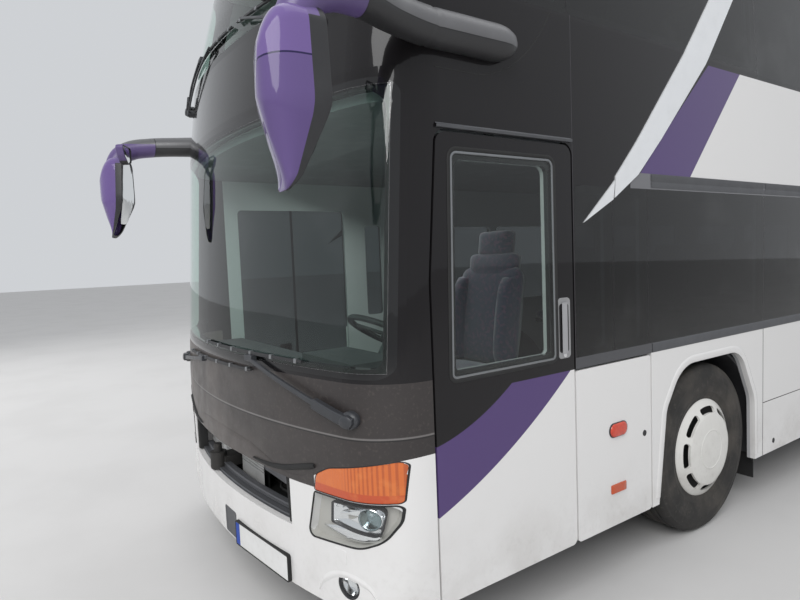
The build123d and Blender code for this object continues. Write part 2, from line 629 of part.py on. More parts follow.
drive_axle = [rod((-600, WHEELBASE, HUB_Z), (600, WHEELBASE, HUB_Z), 75)]
drive_axle += [rod((0, WHEELBASE - 150, HUB_Z), (0, WHEELBASE + 220, HUB_Z), 210)]
drive_axle += dead_spindle(WHEELBASE, 560, 1120)
drive_axle += bellows(WHEELBASE, 600, RAIL_HIGH[0])
drive_axle += [block(sorted((s * 380, s * 460)), (WHEELBASE - 340, WHEELBASE + 340), (560, 600)) for s in (1, -1)]
drive_axle = drive_axle[0].fuse(*drive_axle[1:]).clean()
tag_axle = [block((-900, 900), (TAG_Y - 60, TAG_Y + 60), (455, 575))]
tag_axle += dead_spindle(TAG_Y, 800, 1120)
tag_axle += bellows(TAG_Y, 600, RAIL_HIGH[0])
tag_axle += [block(sorted((s * 380, s * 460)), (TAG_Y - 340, TAG_Y + 340), (560, 600)) for s in (1, -1)]
tag_axle = tag_axle[0].fuse(*tag_axle[1:]).clean()

# Knuckles: post on the kingpin, and the spindle
knuckle_left = rod((KINGPIN_X, 0, 402), (KINGPIN_X, 0, 628), 38).fuse(
    rod((KINGPIN_X, 0, HUB_Z), (1120, 0, HUB_Z), SPINDLE_RADIUS)
) - rod((KINGPIN_X, 0, 380), (KINGPIN_X, 0, 650), KINGPIN_RADIUS + SPINDLE_FIT)
knuckle_right = mirrored(knuckle_left)


def turned(rows, x, place):
    """Solid of revolution about the wheel axis from rows (offset along X, radius)."""
    face = Face(Wire.make_polygon([Vector(x + u, 0, r) for u, r in rows], close=True))
    ring = Solid.revolve(face, 360, Axis((0, 0, 0), (1, 0, 0)))
    return Pos(0, aft(place), HUB_Z) * ring


HALF_TYRE = TYRE_WIDTH / 2
TYRE_ROWS = [  # offset along the axle, radius
    (-115, RIM_RADIUS), (115, RIM_RADIUS), (130, 310), (HALF_TYRE, 390), (HALF_TYRE - 3, 450), (132, 492),
    (112, TYRE_RADIUS - 4), (70, TYRE_RADIUS), (-70, TYRE_RADIUS), (-112, TYRE_RADIUS - 4), (-132, 492),
    (3 - HALF_TYRE, 450), (-HALF_TYRE, 390), (-130, 310),
]
HUB_BORE = SPINDLE_RADIUS + SPINDLE_FIT
BARREL = RIM_RADIUS - RIM_WALL
disc_rows = [  # offset along the axle, radius: barrel and disc with its hub sleeve
    (-115, RIM_RADIUS), (-115, BARREL), (75, BARREL), (88, 250), (92, 180), (76, 140), (72, 100),
    (60, 90), (-30, 90), (-30, HUB_BORE), (84, HUB_BORE), (88, 90), (92, 120), (106, 160),
    (110, 240), (115, BARREL), (115, RIM_RADIUS),
]
cover_rows = [  # offset along the axle, radius: domed cover, its outer face first
    (115, BARREL), (115, RIM_RADIUS), (123, COVER_RADIUS), (127, COVER_RADIUS), (134, 288), (148, 262), (168, 226), (174, 220),
    (184, 160), (187, 120), (190, 112), (190, 0), (180, 0), (180, 108), (176, 156), (166, 212), (160, 222),
    (140, 256), (125, BARREL),
]
SLOTS = 8
SLOT_RING = 238
SLOT_LENGTH = 150
SLOT_HEIGHT = 38


def single_wheel(place):
    """Tyre and rim of a front or tag wheel with its slotted cover, on the left side."""
    tyre = turned(TYRE_ROWS, WHEEL_X, place)
    turn = degrees((SLOT_LENGTH - SLOT_HEIGHT) / SLOT_RING)
    slot = SlotArc(CenterArc((0, 0), SLOT_RING, 90 - turn / 2, turn), SLOT_HEIGHT).face()
    hub = Plane(origin=(0, aft(place), HUB_Z), x_dir=(0, 1, 0), z_dir=(1, 0, 0))
    slots = [
        Solid.extrude((hub.offset(WHEEL_X + 120) * Rot(0, 0, 360 / SLOTS * i)) * slot, Vector(100, 0, 0))
        for i in range(SLOTS)
    ]
    cover = turned(cover_rows, WHEEL_X, place) - slots
    return tyre, turned(disc_rows, WHEEL_X, place).fuse(cover)


def twin_wheel(place):
    """Two tyres on one long rim with a deep dish and hub, on the left side."""
    near, far = WHEEL_X - TWIN_PITCH, WHEEL_X
    tyres = group([turned(TYRE_ROWS, near, place), turned(TYRE_ROWS, far, place)])
    rows = [
        (near - 115, RIM_RADIUS), (near - 115, BARREL), (880, BARREL), (880, 90), (800, 90), (800, HUB_BORE),
        (1040, HUB_BORE), (1130, HUB_BORE), (1130, 0), (1150, 0), (1150, 70), (1130, 110), (900, 120),
        (896, 240), (910, BARREL), (far + 115, BARREL), (far + 115, RIM_RADIUS),
    ]
    return tyres, turned(rows, 0, place)


front_tyre, front_rim = single_wheel(0)
drive_tyres, drive_rim = twin_wheel(WHEELBASE)
tag_tyre, tag_rim = single_wheel(TAG_Y)

# Wheel boxes and mud flaps
def liner(place, radius, x_in):
    """Half-round shell over a wheel, with its inner cheek above the axle."""
    ring = rod((x_in, place, HUB_Z), (WIDTH / 2 - WALL, place, HUB_Z), radius + LINER_WALL)
    ring = ring - rod((x_in + LINER_WALL, place, HUB_Z), (WIDTH / 2, place, HUB_Z), radius)
    low = block((x_in - 50, WIDTH), (place - 800, place + 800), (-200, SKIRT_Z + 20))
    ring = ring - low
    return ring - block((x_in - 50, x_in + LINER_WALL + 1), (place - 400, place + 400), (0, 740))


liners = [liner(0, STEERED_ARCH, 530), liner(WHEELBASE, FIXED_ARCH, 556), liner(TAG_Y, FIXED_ARCH, 860)]
flaps = [block((930, WIDTH / 2 - WALL), (place + d, place + d + 8), (170, SKIRT_Z + 60))
         for place, d in ((0, STEERED_ARCH + 20), (TAG_Y, FIXED_ARCH + 20))]
arch_liners = group([*liners, *[mirrored(a) for a in liners]])
mud_flaps = group([*flaps, *[mirrored(a) for a in flaps]])

# Engine block on the rear rails
engine_block = block((-RAIL_X[0], RAIL_X[0]), (TAG_Y + 950, TAIL - 415), (430, 1060))

# Trim of the sides: silver spear in two lengths
SPEAR = [  # aft, z
    [(-1181, 1876), (-936, 2084), (-950, 1990)],
    [(-930, 2104), (-748, 2290), (-299, 2797), (-7, 3139), (330, 3560), (640, 3560), (269, 3197),
     (-79, 2767), (-532, 2312), (-739, 2120), (-938, 1998)],
]
TRIM_PROUD = 6


def proud_skin(gap, depth):
    """Layer over the skin of the body between two distances outside it."""
    return body_volume(-gap - depth) - body_volume(-gap)


trim_layer = proud_skin(0, TRIM_PROUD) & block((1150, FAR), (-1400, 900), (1700, ROOF_SEAM_Z))
spear = [trim_layer & side_prism(outline([(y, z, 0) for y, z in rows]), 1100, FAR) for rows in SPEAR]
spear_trim = group([*spear, *[mirrored(s) for s in spear]])

# Wipers that follow the curve of the screens
screen_zone = block((-FAR, FAR), (-3000, -2000), (1000, 3600))
blade_layer = proud_skin(2, 20) & screen_zone
arm_layer = proud_skin(22, 18) & screen_zone
pivot_layer = proud_skin(0, 55) & screen_zone
WIPERS = [  # pivot x, pivot z, elbow x, elbow z, blade from x, z, blade to x, z
    (1100, 1121, 431, 1307, -189, 1331, 834, 1328),
    (-1100, 1121, -250, 1230, 430, 1250, -620, 1232),
    (1000, 2768, 500, 2950, 180, 2936, 1130, 2925),
    (-1000, 2768, -500, 2950, 100, 2940, -860, 2955),
]
LINKS = [(880, 2728, 250, 2930), (-880, 2728, -250, 2945)]     # second arms of the upper wipers


def strip(x0, z0, x1, z1, width):
    """Straight bar in front view between two points."""
    along = Vector(x1 - x0, z1 - z0).normalized()
    across = Vector(-along.Y, along.X) * (width / 2)
    a, b = Vector(x0, z0), Vector(x1, z1)
    corners = [(p.X, p.Y, 0) for p in (a - across, b - across, b + across, a + across)]
    return front_prism(outline(corners), -3000, -2000)


wiper_solids = []
for pivot_x, pivot_z, elbow_x, elbow_z, x0, z0, x1, z1 in WIPERS:
    blade = blade_layer & strip(x0, z0, x1, z1, 26)
    arm = arm_layer & strip(pivot_x, pivot_z, elbow_x, elbow_z, 28)
    pivot_face = rectangle(pivot_x - 24, pivot_x + 24, pivot_z - 24, pivot_z + 24, 8)
    hub = pivot_layer & front_prism(pivot_face, -3000, -2000)
    pieces = [arm, hub]
    for x_low, z_low, x_high, z_high in LINKS:
        if pivot_z > UPPER_FLOOR_Z and x_low * pivot_x > 0:
            base = rectangle(x_low - 16, x_low + 16, z_low - 16, z_low + 16, 6)
            pieces += [arm_layer & strip(x_low, z_low, x_high, z_high, 14)]
            pieces += [pivot_layer & front_prism(base, -3000, -2000)]
    wiper_solids.append(blade.fuse(*pieces))
wipers = group(wiper_solids)

# Mirrors: arm out of a fairing over the door, and a drop-shaped head
head_side = outline([
    (-2862, 2470, 60), (-2872, 2200, 200), (-2800, 1955, 30), (-2690, 2060, 60), (-2650, 2300, 200), (-2660, 2500, 60),
])
head_front = outline([
    (1330, 2500, 70), (1295, 2200, 200), (1380, 1955, 50), (1500, 1955, 50), (1555, 2200, 200), (1520, 2500, 70),
])
head_plan = outline([
    (1295, -2600, 0), (1295, -2740, 40), (1340, -2800, 60), (1460, -2852, 60), (1530, -2862, 50),
    (1560, -2800, 60), (1560, -2600, 0),
])
head = side_prism(head_side, 1100, 1700) & front_prism(head_front, -3000, -2500) & plan_prism(head_plan, 1900, 2550)
mirror_glass = block((1340, 1515), (-2700, -2600), (2090, 2420)) & head
mirror_glass = mirror_glass & side_prism(outline([
    (-2672, 2060, 0), (-2600, 2060, 0), (-2600, 2480, 0), (-2672, 2480, 0)]), 1100, 1700)
head = head - mirror_glass
arm = rod((1300, -1690, 2600), (1300, -2115, 2600), 72).fuse(
    rod((1300, -2100, 2600), (1430, -2500, 2592), 62), rod((1430, -2490, 2592), (1445, -2740, 2560), 58),
    rod((1445, -2740, 2600), (1440, -2755, 2430), 52),
)
arm = arm - outer
mirror = head.fuse(arm)
mirrors = group([mirror, mirrored(mirror)])
mirror_glasses = group([mirror_glass, mirrored(mirror_glass)])

# Number plates, blank
PLATE = (520, 8, 120)
PLATE_X = 413
PLATE_Z = (373, 430)
plate_turn = Rot(0, 0, degrees(PLATE_X / NOSE_RADIUS))
plate_y = nose_skin(PLATE_X, PLATE_Z[0] + PLATE[2] / 2) - PLATE[1] / 2 - 0.3
front_plate = Pos(PLATE_X, aft(plate_y), PLATE_Z[0]) * plate_turn * Box(*PLATE)
rear_plate = Pos(0, aft(TAIL + PLATE[1] / 2), PLATE_Z[1]) * Box(*PLATE)

nodes = {
    "chassis_frame": chassis_frame,
    "lower_floor": lower_floor,
    "upper_floor": upper_floor,
    "staircase": staircase,
    "side_wall_left": side_wall_left,
    "side_wall_right": side_wall_right,
    "roof": roof,
    "rear_wall": rear_wall,
    "front_frame": front_frame,
    "front_apron": front_apron,
    "front_bumper": front_bumper,
    "bumper_corners": bumper_corners,
    "windscreens": group(screens),
    "side_glass": group(panes[1] + panes[-1] + door_panes),
    "rear_glass": rear_glass,
    "passenger_doors": group(door_frames),
    "spear_trim": spear_trim,
    "headlamps": group([headlamp, mirrored(headlamp), fog_lamp, mirrored(fog_lamp)]),
    "indicators": group([indicator, mirrored(indicator)]),
    "tail_lamps": group([tail_lamp, mirrored(tail_lamp)]),
    "mirrors": mirrors,
    "mirror_glass": mirror_glasses,
    "wipers": wipers,
    "front_grille": front_grille,
    "number_plates": group([front_plate, rear_plate]),
    "dashboard": dashboard,
    "driver_seat": driver_seat,
    "passenger_seats": passenger_seats,
    "arch_liners": arch_liners,
    "mud_flaps": mud_flaps,
    "engine_block": engine_block,
    "front_axle": front_axle,
    "drive_axle": drive_axle,
    "tag_axle": tag_axle,
    "driver_door": driver_door,
    "driver_window": driver_window,
    "service_flap": service_flap,
    "luggage_flap_left": luggage_flap_left,
    "luggage_flap_right": luggage_flap_right,
    "engine_lid": engine_lid,
    "steering_wheel": steering_wheel,
    "front_knuckle_left": knuckle_left,
    "front_knuckle_right": knuckle_right,
}
for name, tyre, rim in (
    ("front", front_tyre, front_rim), ("drive", drive_tyres, drive_rim), ("tag", tag_tyre, tag_rim),
):
    nodes[f"{name}_tyre_left"] = tyre
    nodes[f"{name}_rim_left"] = rim
    nodes[f"{name}_tyre_right"] = mirrored(tyre)
    nodes[f"{name}_rim_right"] = mirrored(rim)

os.makedirs("parts", exist_ok=True)
for name, shape in nodes.items():
    export_step(shape, f"parts/{name}.step")
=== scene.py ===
"""Looks of the double-deck coach: paint, glass, lamps, wheels, mirrors and cab, in metres.

The coach faces -Y, its left side is +X and its wheels stand on Z = 0. Along the body, places are
given as distances aft of the front axle.
"""
from math import asin, cos, pi, radians, sin

import bmesh
import bpy
import numpy as np
from mathutils import Matrix, Vector


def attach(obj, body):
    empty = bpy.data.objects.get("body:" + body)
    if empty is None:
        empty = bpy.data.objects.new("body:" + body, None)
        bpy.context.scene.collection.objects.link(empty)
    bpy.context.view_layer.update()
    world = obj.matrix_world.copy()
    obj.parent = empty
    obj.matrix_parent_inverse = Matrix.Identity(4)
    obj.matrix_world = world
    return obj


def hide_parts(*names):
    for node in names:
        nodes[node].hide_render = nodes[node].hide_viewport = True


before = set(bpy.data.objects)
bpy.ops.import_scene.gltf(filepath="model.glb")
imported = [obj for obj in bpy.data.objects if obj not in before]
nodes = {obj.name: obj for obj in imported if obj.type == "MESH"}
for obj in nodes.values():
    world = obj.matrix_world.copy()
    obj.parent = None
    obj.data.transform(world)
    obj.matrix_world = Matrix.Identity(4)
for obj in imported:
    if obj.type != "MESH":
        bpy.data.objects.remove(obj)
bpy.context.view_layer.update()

FRONT_AXLE_Y = -4.245
AXLES = {"front": 0.0, "drive": 6.7, "tag": 8.05}
HUB_Z = 0.515
TAIL, TAIL_FLAT, TAIL_CORNER = 11.365, 1.125, 0.15
HALF_WIDTH = 1.275
WAIST_Z = 2.8
SIDE_LEAN = (HALF_WIDTH - 1.232) / (3.62 - WAIST_Z)
NOSE_RADIUS, CORNER_RADIUS = 4.0, 0.3
NOSE_Z = (0.28, 1.02, 1.27, 2.47, 2.86, 3.1, 3.5, 4.1)
NOSE_AHEAD = (2.545, 2.55, 2.538, 2.46, 2.41, 2.35, 2.242, 2.075)
CORNER_X = HALF_WIDTH - CORNER_RADIUS
JOINT_ANGLE = asin(CORNER_X / (NOSE_RADIUS - CORNER_RADIUS))
CORNER_BACK = NOSE_RADIUS - (NOSE_RADIUS - CORNER_RADIUS) * cos(JOINT_ANGLE)
BELT_Z = 1.183
GLASS_LOW, GLASS_HIGH = 1.236, 2.05
BAND_LOW, BAND_HIGH = 2.13, 2.77
DOOR_FRONT, DOOR_REAR = -2.13, -1.25
WELD = 2e-5


# Surfaces

def nose(x, z, out=0.0):
    """Points on the nose: at height z the plan curve is an arc of 4 m about the middle, then one of 0.3 m
    round each corner; x picks the place on it and out is the distance outside the skin."""
    x, z = np.broadcast_arrays(np.asarray(x, float), np.asarray(z, float))
    ahead = np.interp(z, NOSE_Z, NOSE_AHEAD)
    size = np.abs(x)
    corner = size > NOSE_RADIUS * sin(JOINT_ANGLE)
    angle = np.where(corner, np.arcsin(np.clip((size - CORNER_X) / CORNER_RADIUS, -1, 1)),
                     np.arcsin(np.clip(size / NOSE_RADIUS, -1, 1)))
    middle = np.where(corner, CORNER_BACK - ahead, NOSE_RADIUS - ahead)
    radius = np.where(corner, CORNER_RADIUS, NOSE_RADIUS) + out
    across = np.where(corner, CORNER_X, 0.0) + radius * np.sin(angle)
    return np.stack([np.copysign(across, x), FRONT_AXLE_Y + middle - radius * np.cos(angle), z], -1)


def side(aft, z, out=0.0, hand=1):
    """Points on the straight side: upright to the waist, then leaning in steadily with height."""
    aft, z = np.broadcast_arrays(np.asarray(aft, float), np.asarray(z, float))
    x = HALF_WIDTH - np.clip(z - WAIST_Z, 0, None) * SIDE_LEAN + out
    return np.stack([hand * x, FRONT_AXLE_Y + aft, z], -1)


def right_side(u, z, out=0.0):
    """Right side seen from outside: u runs forward, so the viewer's right is the coach's front."""
    return side(-np.asarray(u, float), z, out, -1)


def tail(u, z, out=0.0):
    """Points on the tail seen from behind (u = -x): flat, with corners of 0.15 m radius."""
    u, z = np.broadcast_arrays(np.asarray(u, float), np.asarray(z, float))
    over = np.clip((np.abs(u) - TAIL_FLAT) / TAIL_CORNER, 0, 1)
    turn = np.arcsin(over)
    x = np.where(over > 0, TAIL_FLAT + (TAIL_CORNER + out) * np.sin(turn), np.abs(u))
    y = np.where(over > 0, TAIL - TAIL_CORNER + (TAIL_CORNER + out) * np.cos(turn), TAIL + out)
    return np.stack([-np.copysign(x, u), FRONT_AXLE_Y + y, z], -1)


def flip_hand(grid):
    """Mirror image in the middle plane, still facing outwards."""
    return (np.asarray(grid) * (-1, 1, 1))[::-1]


def both(grids):
    """The same grids and their mirror images."""
    return list(grids) + [flip_hand(g) for g in grids]


def unit(rows):
    """Each row divided by its length."""
    return rows / np.linalg.norm(rows, axis=1, keepdims=True)


def spread(values, keys, count):
    """Count values in even steps along a length that runs from 0 to 1, read off a broken line."""
    return np.interp(np.linspace(0, 1, count), keys, values)


def tube(path, radius, turns):
    """Round tube: a circle carried square to the path, its ends drawn to a point."""
    radius = np.broadcast_to(np.asarray(radius, float), len(path))
    along = unit(np.gradient(path, axis=0))
    first = unit(np.cross(along, (0.31, 0.17, 0.93)))
    second = np.cross(along, first)
    angle = np.linspace(0, 2 * pi, turns + 1)
    circle = np.cos(angle)[None, :, None] * first[:, None] + np.sin(angle)[None, :, None] * second[:, None]
    grid = path[:, None] + circle * radius[:, None, None]
    ends = [np.repeat(path[i][None, None], turns + 1, axis=1) for i in (0, -1)]
    return np.concatenate([ends[0], grid, ends[1]])


def smooth(points, count):
    """Curve through points, evenly spaced: cubic runs whose slopes are the mean of their neighbours'."""
    points = np.asarray(points, float)
    step = np.concatenate([[0], np.cumsum(np.linalg.norm(np.diff(points, axis=0), axis=1))])
    slope = np.gradient(points, step, axis=0)
    place = np.linspace(0, step[-1], count)
    i = np.clip(np.searchsorted(step, place, "right") - 1, 0, len(points) - 2)
    run = (step[i + 1] - step[i])[:, None]
    t = (place - step[i])[:, None] / run
    return ((2 * t**3 - 3 * t**2 + 1) * points[i] + (t**3 - 2 * t**2 + t) * run * slope[i]
            + (3 * t**2 - 2 * t**3) * points[i + 1] + (t**3 - t**2) * run * slope[i + 1])


def line(a, b, step=0.03):
    """Evenly spaced points from a to b."""
    a, b = np.asarray(a, float), np.asarray(b, float)
    count = max(2, int(np.linalg.norm(b - a) / step) + 2)
    return a + (b - a) * np.linspace(0, 1, count)[:, None]


def fine(outline, step=0.02):
    """The same closed outline with points no farther apart than step."""
    runs = []
    for a, b in zip(outline, np.roll(outline, -1, 0)):
        count = max(1, int(np.ceil(np.linalg.norm(b - a) / step)))
        runs.append(a + (b - a) * (np.arange(count) / count)[:, None])
    return np.concatenate(runs)


def rounded(corners, steps=6):
    """Closed outline from corners (u, v, radius), each replaced by an arc of that radius."""
    corners = np.asarray(corners, float)
    count, out = len(corners), []
    for i in range(count):
        at, radius = corners[i, :2], corners[i, 2]
        if radius < 1e-6:
            out.append(at[None])
            continue
        a, b = unit(np.stack([corners[i - 1, :2] - at, corners[(i + 1) % count, :2] - at]))
        half = np.arccos(np.clip(a @ b, -1, 1)) / 2
        middle = at + (a + b) / np.linalg.norm(a + b) * radius / np.sin(half)
        first = at + a * radius / np.tan(half) - middle
        last = at + b * radius / np.tan(half) - middle
        t = np.linspace(0, 1, steps + 1)[:, None]
        out.append(middle + unit(first * (1 - t) + last * t) * radius)
    return np.concatenate(out)


def box_outline(u0, u1, v0, v1, radius, steps=6):
    """Closed outline of a rectangle whose corners have one radius."""
    return rounded([(u0, v0, radius), (u1, v0, radius), (u1, v1, radius), (u0, v1, radius)], steps)


def ring(points, out, place):
    """Closed row of points; place(u, v, out) puts it on the body."""
    points = np.concatenate([points, points[:1]])
    return place(points[:, 0], points[:, 1], out)


def band(outline, widths, heights, place):
    """Frame round an outline: the outline is inset by each width in turn and lifted by each height."""
    ahead, behind = np.roll(outline, -1, 0), np.roll(outline, 1, 0)
    along = unit(ahead - behind)
    inward = np.stack([-along[:, 1], along[:, 0]], 1)
    inward *= np.sign(np.sum(outline[:, 0] * ahead[:, 1] - ahead[:, 0] * outline[:, 1]))
    return np.stack([ring(outline + inward * width, height, place) for width,
                     height in zip(widths, heights)])


def sheet_over(outline, shares, heights, place):
    """Domed cover over an outline: rings shrink from the edge to its middle, lifted by the heights."""
    middle = (outline.max(0) + outline.min(0)) / 2
    return np.stack([ring(middle + (outline - middle) * share, height, place)
                     for share, height in zip(shares, heights)])


def flat(x, z, place, out=0.0):
    """Flat rectangle between two x and two z."""
    return place(np.array(x)[None, :], np.array(z)[:, None], out)


def run_along(path, profile, place, size=1.0, capped=False):
    """Moulding along a path in front or side view: the profile's (across, out) points, their width times
    size, are carried along it, and the ends are drawn to a point if they are capped."""
    along = unit(np.gradient(path, axis=0))
    left = np.stack([-along[:, 1], along[:, 0]], 1)
    size = np.broadcast_to(size, len(path))
    grid = np.stack([place(*(path + left * (across * size)[:, None]).T, out) for across, out in profile])
    if capped:
        first, last = (np.repeat(grid[:-1, i].mean(0)[None, None], len(grid), 0) for i in (0, -1))
        grid = np.concatenate([first, grid, last], 1)
    return grid


def box_profile(half, low, high, soft=0.0015):
    """Closed section of a bar with softened corners: (across, out) points."""
    return [(-half, low), (-half, high - soft), (-half + soft, high), (half - soft, high),
            (half, high - soft), (half, low), (-half, low)]


def round_on(x, z, rows, place=nose, turns=40):
    """Rings about a point of the skin: rows of (out, radius), from the rim to the middle."""
    angle = np.linspace(0, 2 * pi, turns + 1)
    return np.stack([place(x + r * np.cos(angle), z + r * np.sin(angle), out) for out, r in rows])


def lathe(rows, place, turns, start=0.0):
    """Surface turned about a wheel's axle from rows of (distance from the middle plane, radius)."""
    angle = start + np.linspace(0, 2 * pi, turns + 1)
    radius = rows[:, 1][:, None]
    x = np.broadcast_to(rows[:, 0][:, None], (len(rows), turns + 1))
    return np.stack([x, FRONT_AXLE_Y + place + radius * np.sin(angle), HUB_Z + radius * np.cos(angle)], -1)


def build(name, grids, finish, body="coach_body", over=None, closed=False, sharp=38):
    """One piece from grids of points: neighbours in a grid make a face, and points that meet become one."""
    places, faces, start = [], [], 0
    for grid in grids:
        rows, columns = grid.shape[:2]
        index = start + np.arange(rows * columns).reshape(rows, columns)
        faces.append(np.stack([index[:-1, :-1], index[:-1, 1:], index[1:, 1:], index[1:, :-1]],
                              -1).reshape(-1, 4))
        places.append(grid.reshape(-1, 3))
        start += rows * columns
    mesh = bpy.data.meshes.new(name)
    mesh.from_pydata(np.concatenate(places).tolist(), [], np.concatenate(faces).tolist())
    work = bmesh.new()
    work.from_mesh(mesh)
    bmesh.ops.remove_doubles(work, verts=work.verts, dist=WELD)
    bmesh.ops.dissolve_degenerate(work, edges=work.edges, dist=1e-6)
    if closed:
        bmesh.ops.recalc_face_normals(work, faces=work.faces)
    work.to_mesh(mesh)
    work.free()
    mesh.shade_smooth()
    mesh.set_sharp_from_angle(angle=radians(sharp))
    made = bpy.data.objects.new(name, mesh)
    bpy.context.scene.collection.objects.link(made)
    mesh.materials.append(finish.data)
    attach(made, body)
    if over:
        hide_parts(over)
    return made


# Finishes

def add_node(tree, kind, **values):
    """Shader node: each value goes to the node's setting of that name, or else to its input."""
    made = tree.nodes.new("ShaderNode" + kind)
    for name, value in values.items():
        if hasattr(made, name):
            setattr(made, name, value)
        else:
            feed(tree, made.inputs[name.replace("_", " ")], value)
    return made


def feed(tree, socket, value):
    """Links a field, or another node's output, to an input, or sets the input to a value."""
    if isinstance(value, Field):
        value = value.socket
    if isinstance(value, bpy.types.NodeSocket):
        tree.links.new(value, socket)
    else:
        socket.default_value = value


class Field:
    """A number at each point of a surface, worked out by math nodes."""

    def __init__(self, tree, socket):
        self.tree, self.socket = tree, socket

    def math(self, operation, *others):
        node = add_node(self.tree, "Math", operation=operation)
        for socket, value in zip(node.inputs, (self, *others)):
            feed(self.tree, socket, value)
        return Field(self.tree, node.outputs[0])

    def __add__(self, other):
        return self.math("ADD", other)

    def __sub__(self, other):
        return self.math("SUBTRACT", other)

    def __mul__(self, other):
        return self.math("MULTIPLY", other)

    def low(self, other):
        return self.math("MINIMUM", other)

    def high(self, other):
        return self.math("MAXIMUM", other)

    def size(self):
        return self.math("ABSOLUTE")

    def flip(self):
        return self * -1 + 1

    def ramp(self, start, end):
        """0 at start, 1 at end and smooth between."""
        node = add_node(self.tree, "MapRange", interpolation_type="SMOOTHSTEP", Value=self,
                        From_Min=min(start, end), From_Max=max(start, end),
                        To_Min=float(start > end), To_Max=float(start < end))
        return Field(self.tree, node.outputs["Result"])

    def over(self, edge, soft=0.0015):
        """1 where the number is above edge."""
        return self.ramp(edge - soft / 2, edge + soft / 2)

    def under(self, edge, soft=0.0015):
        return self.ramp(edge + soft / 2, edge - soft / 2)

    def between(self, low, high, soft=0.0015):
        return self.over(low, soft) * self.under(high, soft)


class Finish:
    """A finish being mixed: its shader, the place of each point and the layers put on."""

    def __init__(self, name, colour, rough=0.5, metallic=0.0, **sockets):
        self.data = bpy.data.materials.new(name)
        self.data.use_nodes = True
        self.tree = self.data.node_tree
        self.shader = self.tree.nodes["Principled BSDF"]
        self.rough = rough
        self.fixed(Roughness=rough, Metallic=metallic, **sockets)
        texture = add_node(self.tree, "TexCoord")
        self.place, self.normal = texture.outputs["Object"], texture.outputs["Normal"]
        parts = add_node(self.tree, "SeparateXYZ", Vector=self.place)
        self.x, y, self.z = (Field(self.tree, socket) for socket in parts.outputs)
        self.aft = y - FRONT_AXLE_Y
        self.coat(colour)

    def pattern(self, kind, output, place=None, **values):
        """A texture on the object's own coordinates."""
        node = add_node(self.tree, "Tex" + kind, Vector=place or self.place, **values)
        return Field(self.tree, node.outputs[output])

    def noise(self, scale, detail=3.0, stretch=(1, 1, 1)):
        place = add_node(self.tree, "Mapping", Scale=stretch, Vector=self.place).outputs[0]
        return self.pattern("Noise", "Fac", place, Scale=scale, Detail=detail, Roughness=0.55)

    def cells(self, scale):
        """Distance to the nearest of scattered points."""
        return self.pattern("Voronoi", "Distance", Scale=scale)

    def wave(self, scale, axis):
        return self.pattern("Wave", "Fac", bands_direction=axis, Scale=scale)

    def coat(self, colour, mask=None):
        """Lays a colour over those below it where the mask is 1."""
        if mask is None:
            self.colour = (*colour, 1)
        else:
            node = add_node(self.tree, "Mix", data_type="RGBA", Factor=mask)
            under, above = [s for s in node.inputs if s.type == "RGBA"]
            feed(self.tree, under, self.colour)
            feed(self.tree, above, (*colour, 1))
            self.colour = [s for s in node.outputs if s.type == "RGBA"][0]
        return self.fixed(Base_Color=self.colour)

    def fixed(self, **values):
        """Sets inputs of the shader to values or links fields to them."""
        for name, value in values.items():
            feed(self.tree, self.shader.inputs[name.replace("_", " ")], value)
        return self

    def relief(self, height, strength=0.3, distance=0.001):
        node = add_node(self.tree, "Bump", Strength=strength, Distance=distance, Height=height)
        return self.fixed(Normal=node.outputs[0])


WHITE = (0.735, 0.725, 0.715)
PURPLE = (0.088, 0.056, 0.165)
SHELL_PURPLE = (0.118, 0.080, 0.215)
BLACK = (0.012, 0.011, 0.012)
SEAM_BLACK = (0.012, 0.012, 0.013)
STRIP_GREY = (0.075, 0.076, 0.082)
RAIL_GREY = (0.16, 0.16, 0.17)
DUST = (0.30, 0.27, 0.235)


def gloss(finish, coat=1.0, coat_rough=0.03):
    """Clear lacquer over the paint, faintly uneven as sprayed panels are."""
    finish.fixed(Coat_Weight=coat, Coat_Roughness=coat_rough, Coat_IOR=1.32, Specular_IOR_Level=0.05)
    return finish.relief(finish.noise(900, 2) * 0.3 + finish.noise(14, 2), 0.04, 0.0006)


def dusted(finish, strength=0.5, top=0.75):
    """Road dust: thickest at the bottom, broken into patches by noise, and rougher than what it lies on."""
    patch = finish.noise(3.2, 5).ramp(0.38, 0.72) * 0.7 + finish.noise(38, 3).ramp(0.45, 0.8) * 0.3
    mask = finish.z.ramp(top, 0.25) * patch * strength
    mask = mask + finish.noise(60, 2).ramp(0.66, 0.78) * (0.08 * strength)
    finish.coat(DUST, mask)
    return finish.fixed(Roughness=mask * 0.5 + (finish.noise(5, 3) * 0.08 + (finish.rough - 0.04)))


def paint_finish(name, colour, rough, dust, top=0.75, coat=1.0, coat_rough=0.03):
    """Lacquered paint under road dust."""
    return gloss(dusted(Finish(name, colour, rough), dust, top), coat, coat_rough)


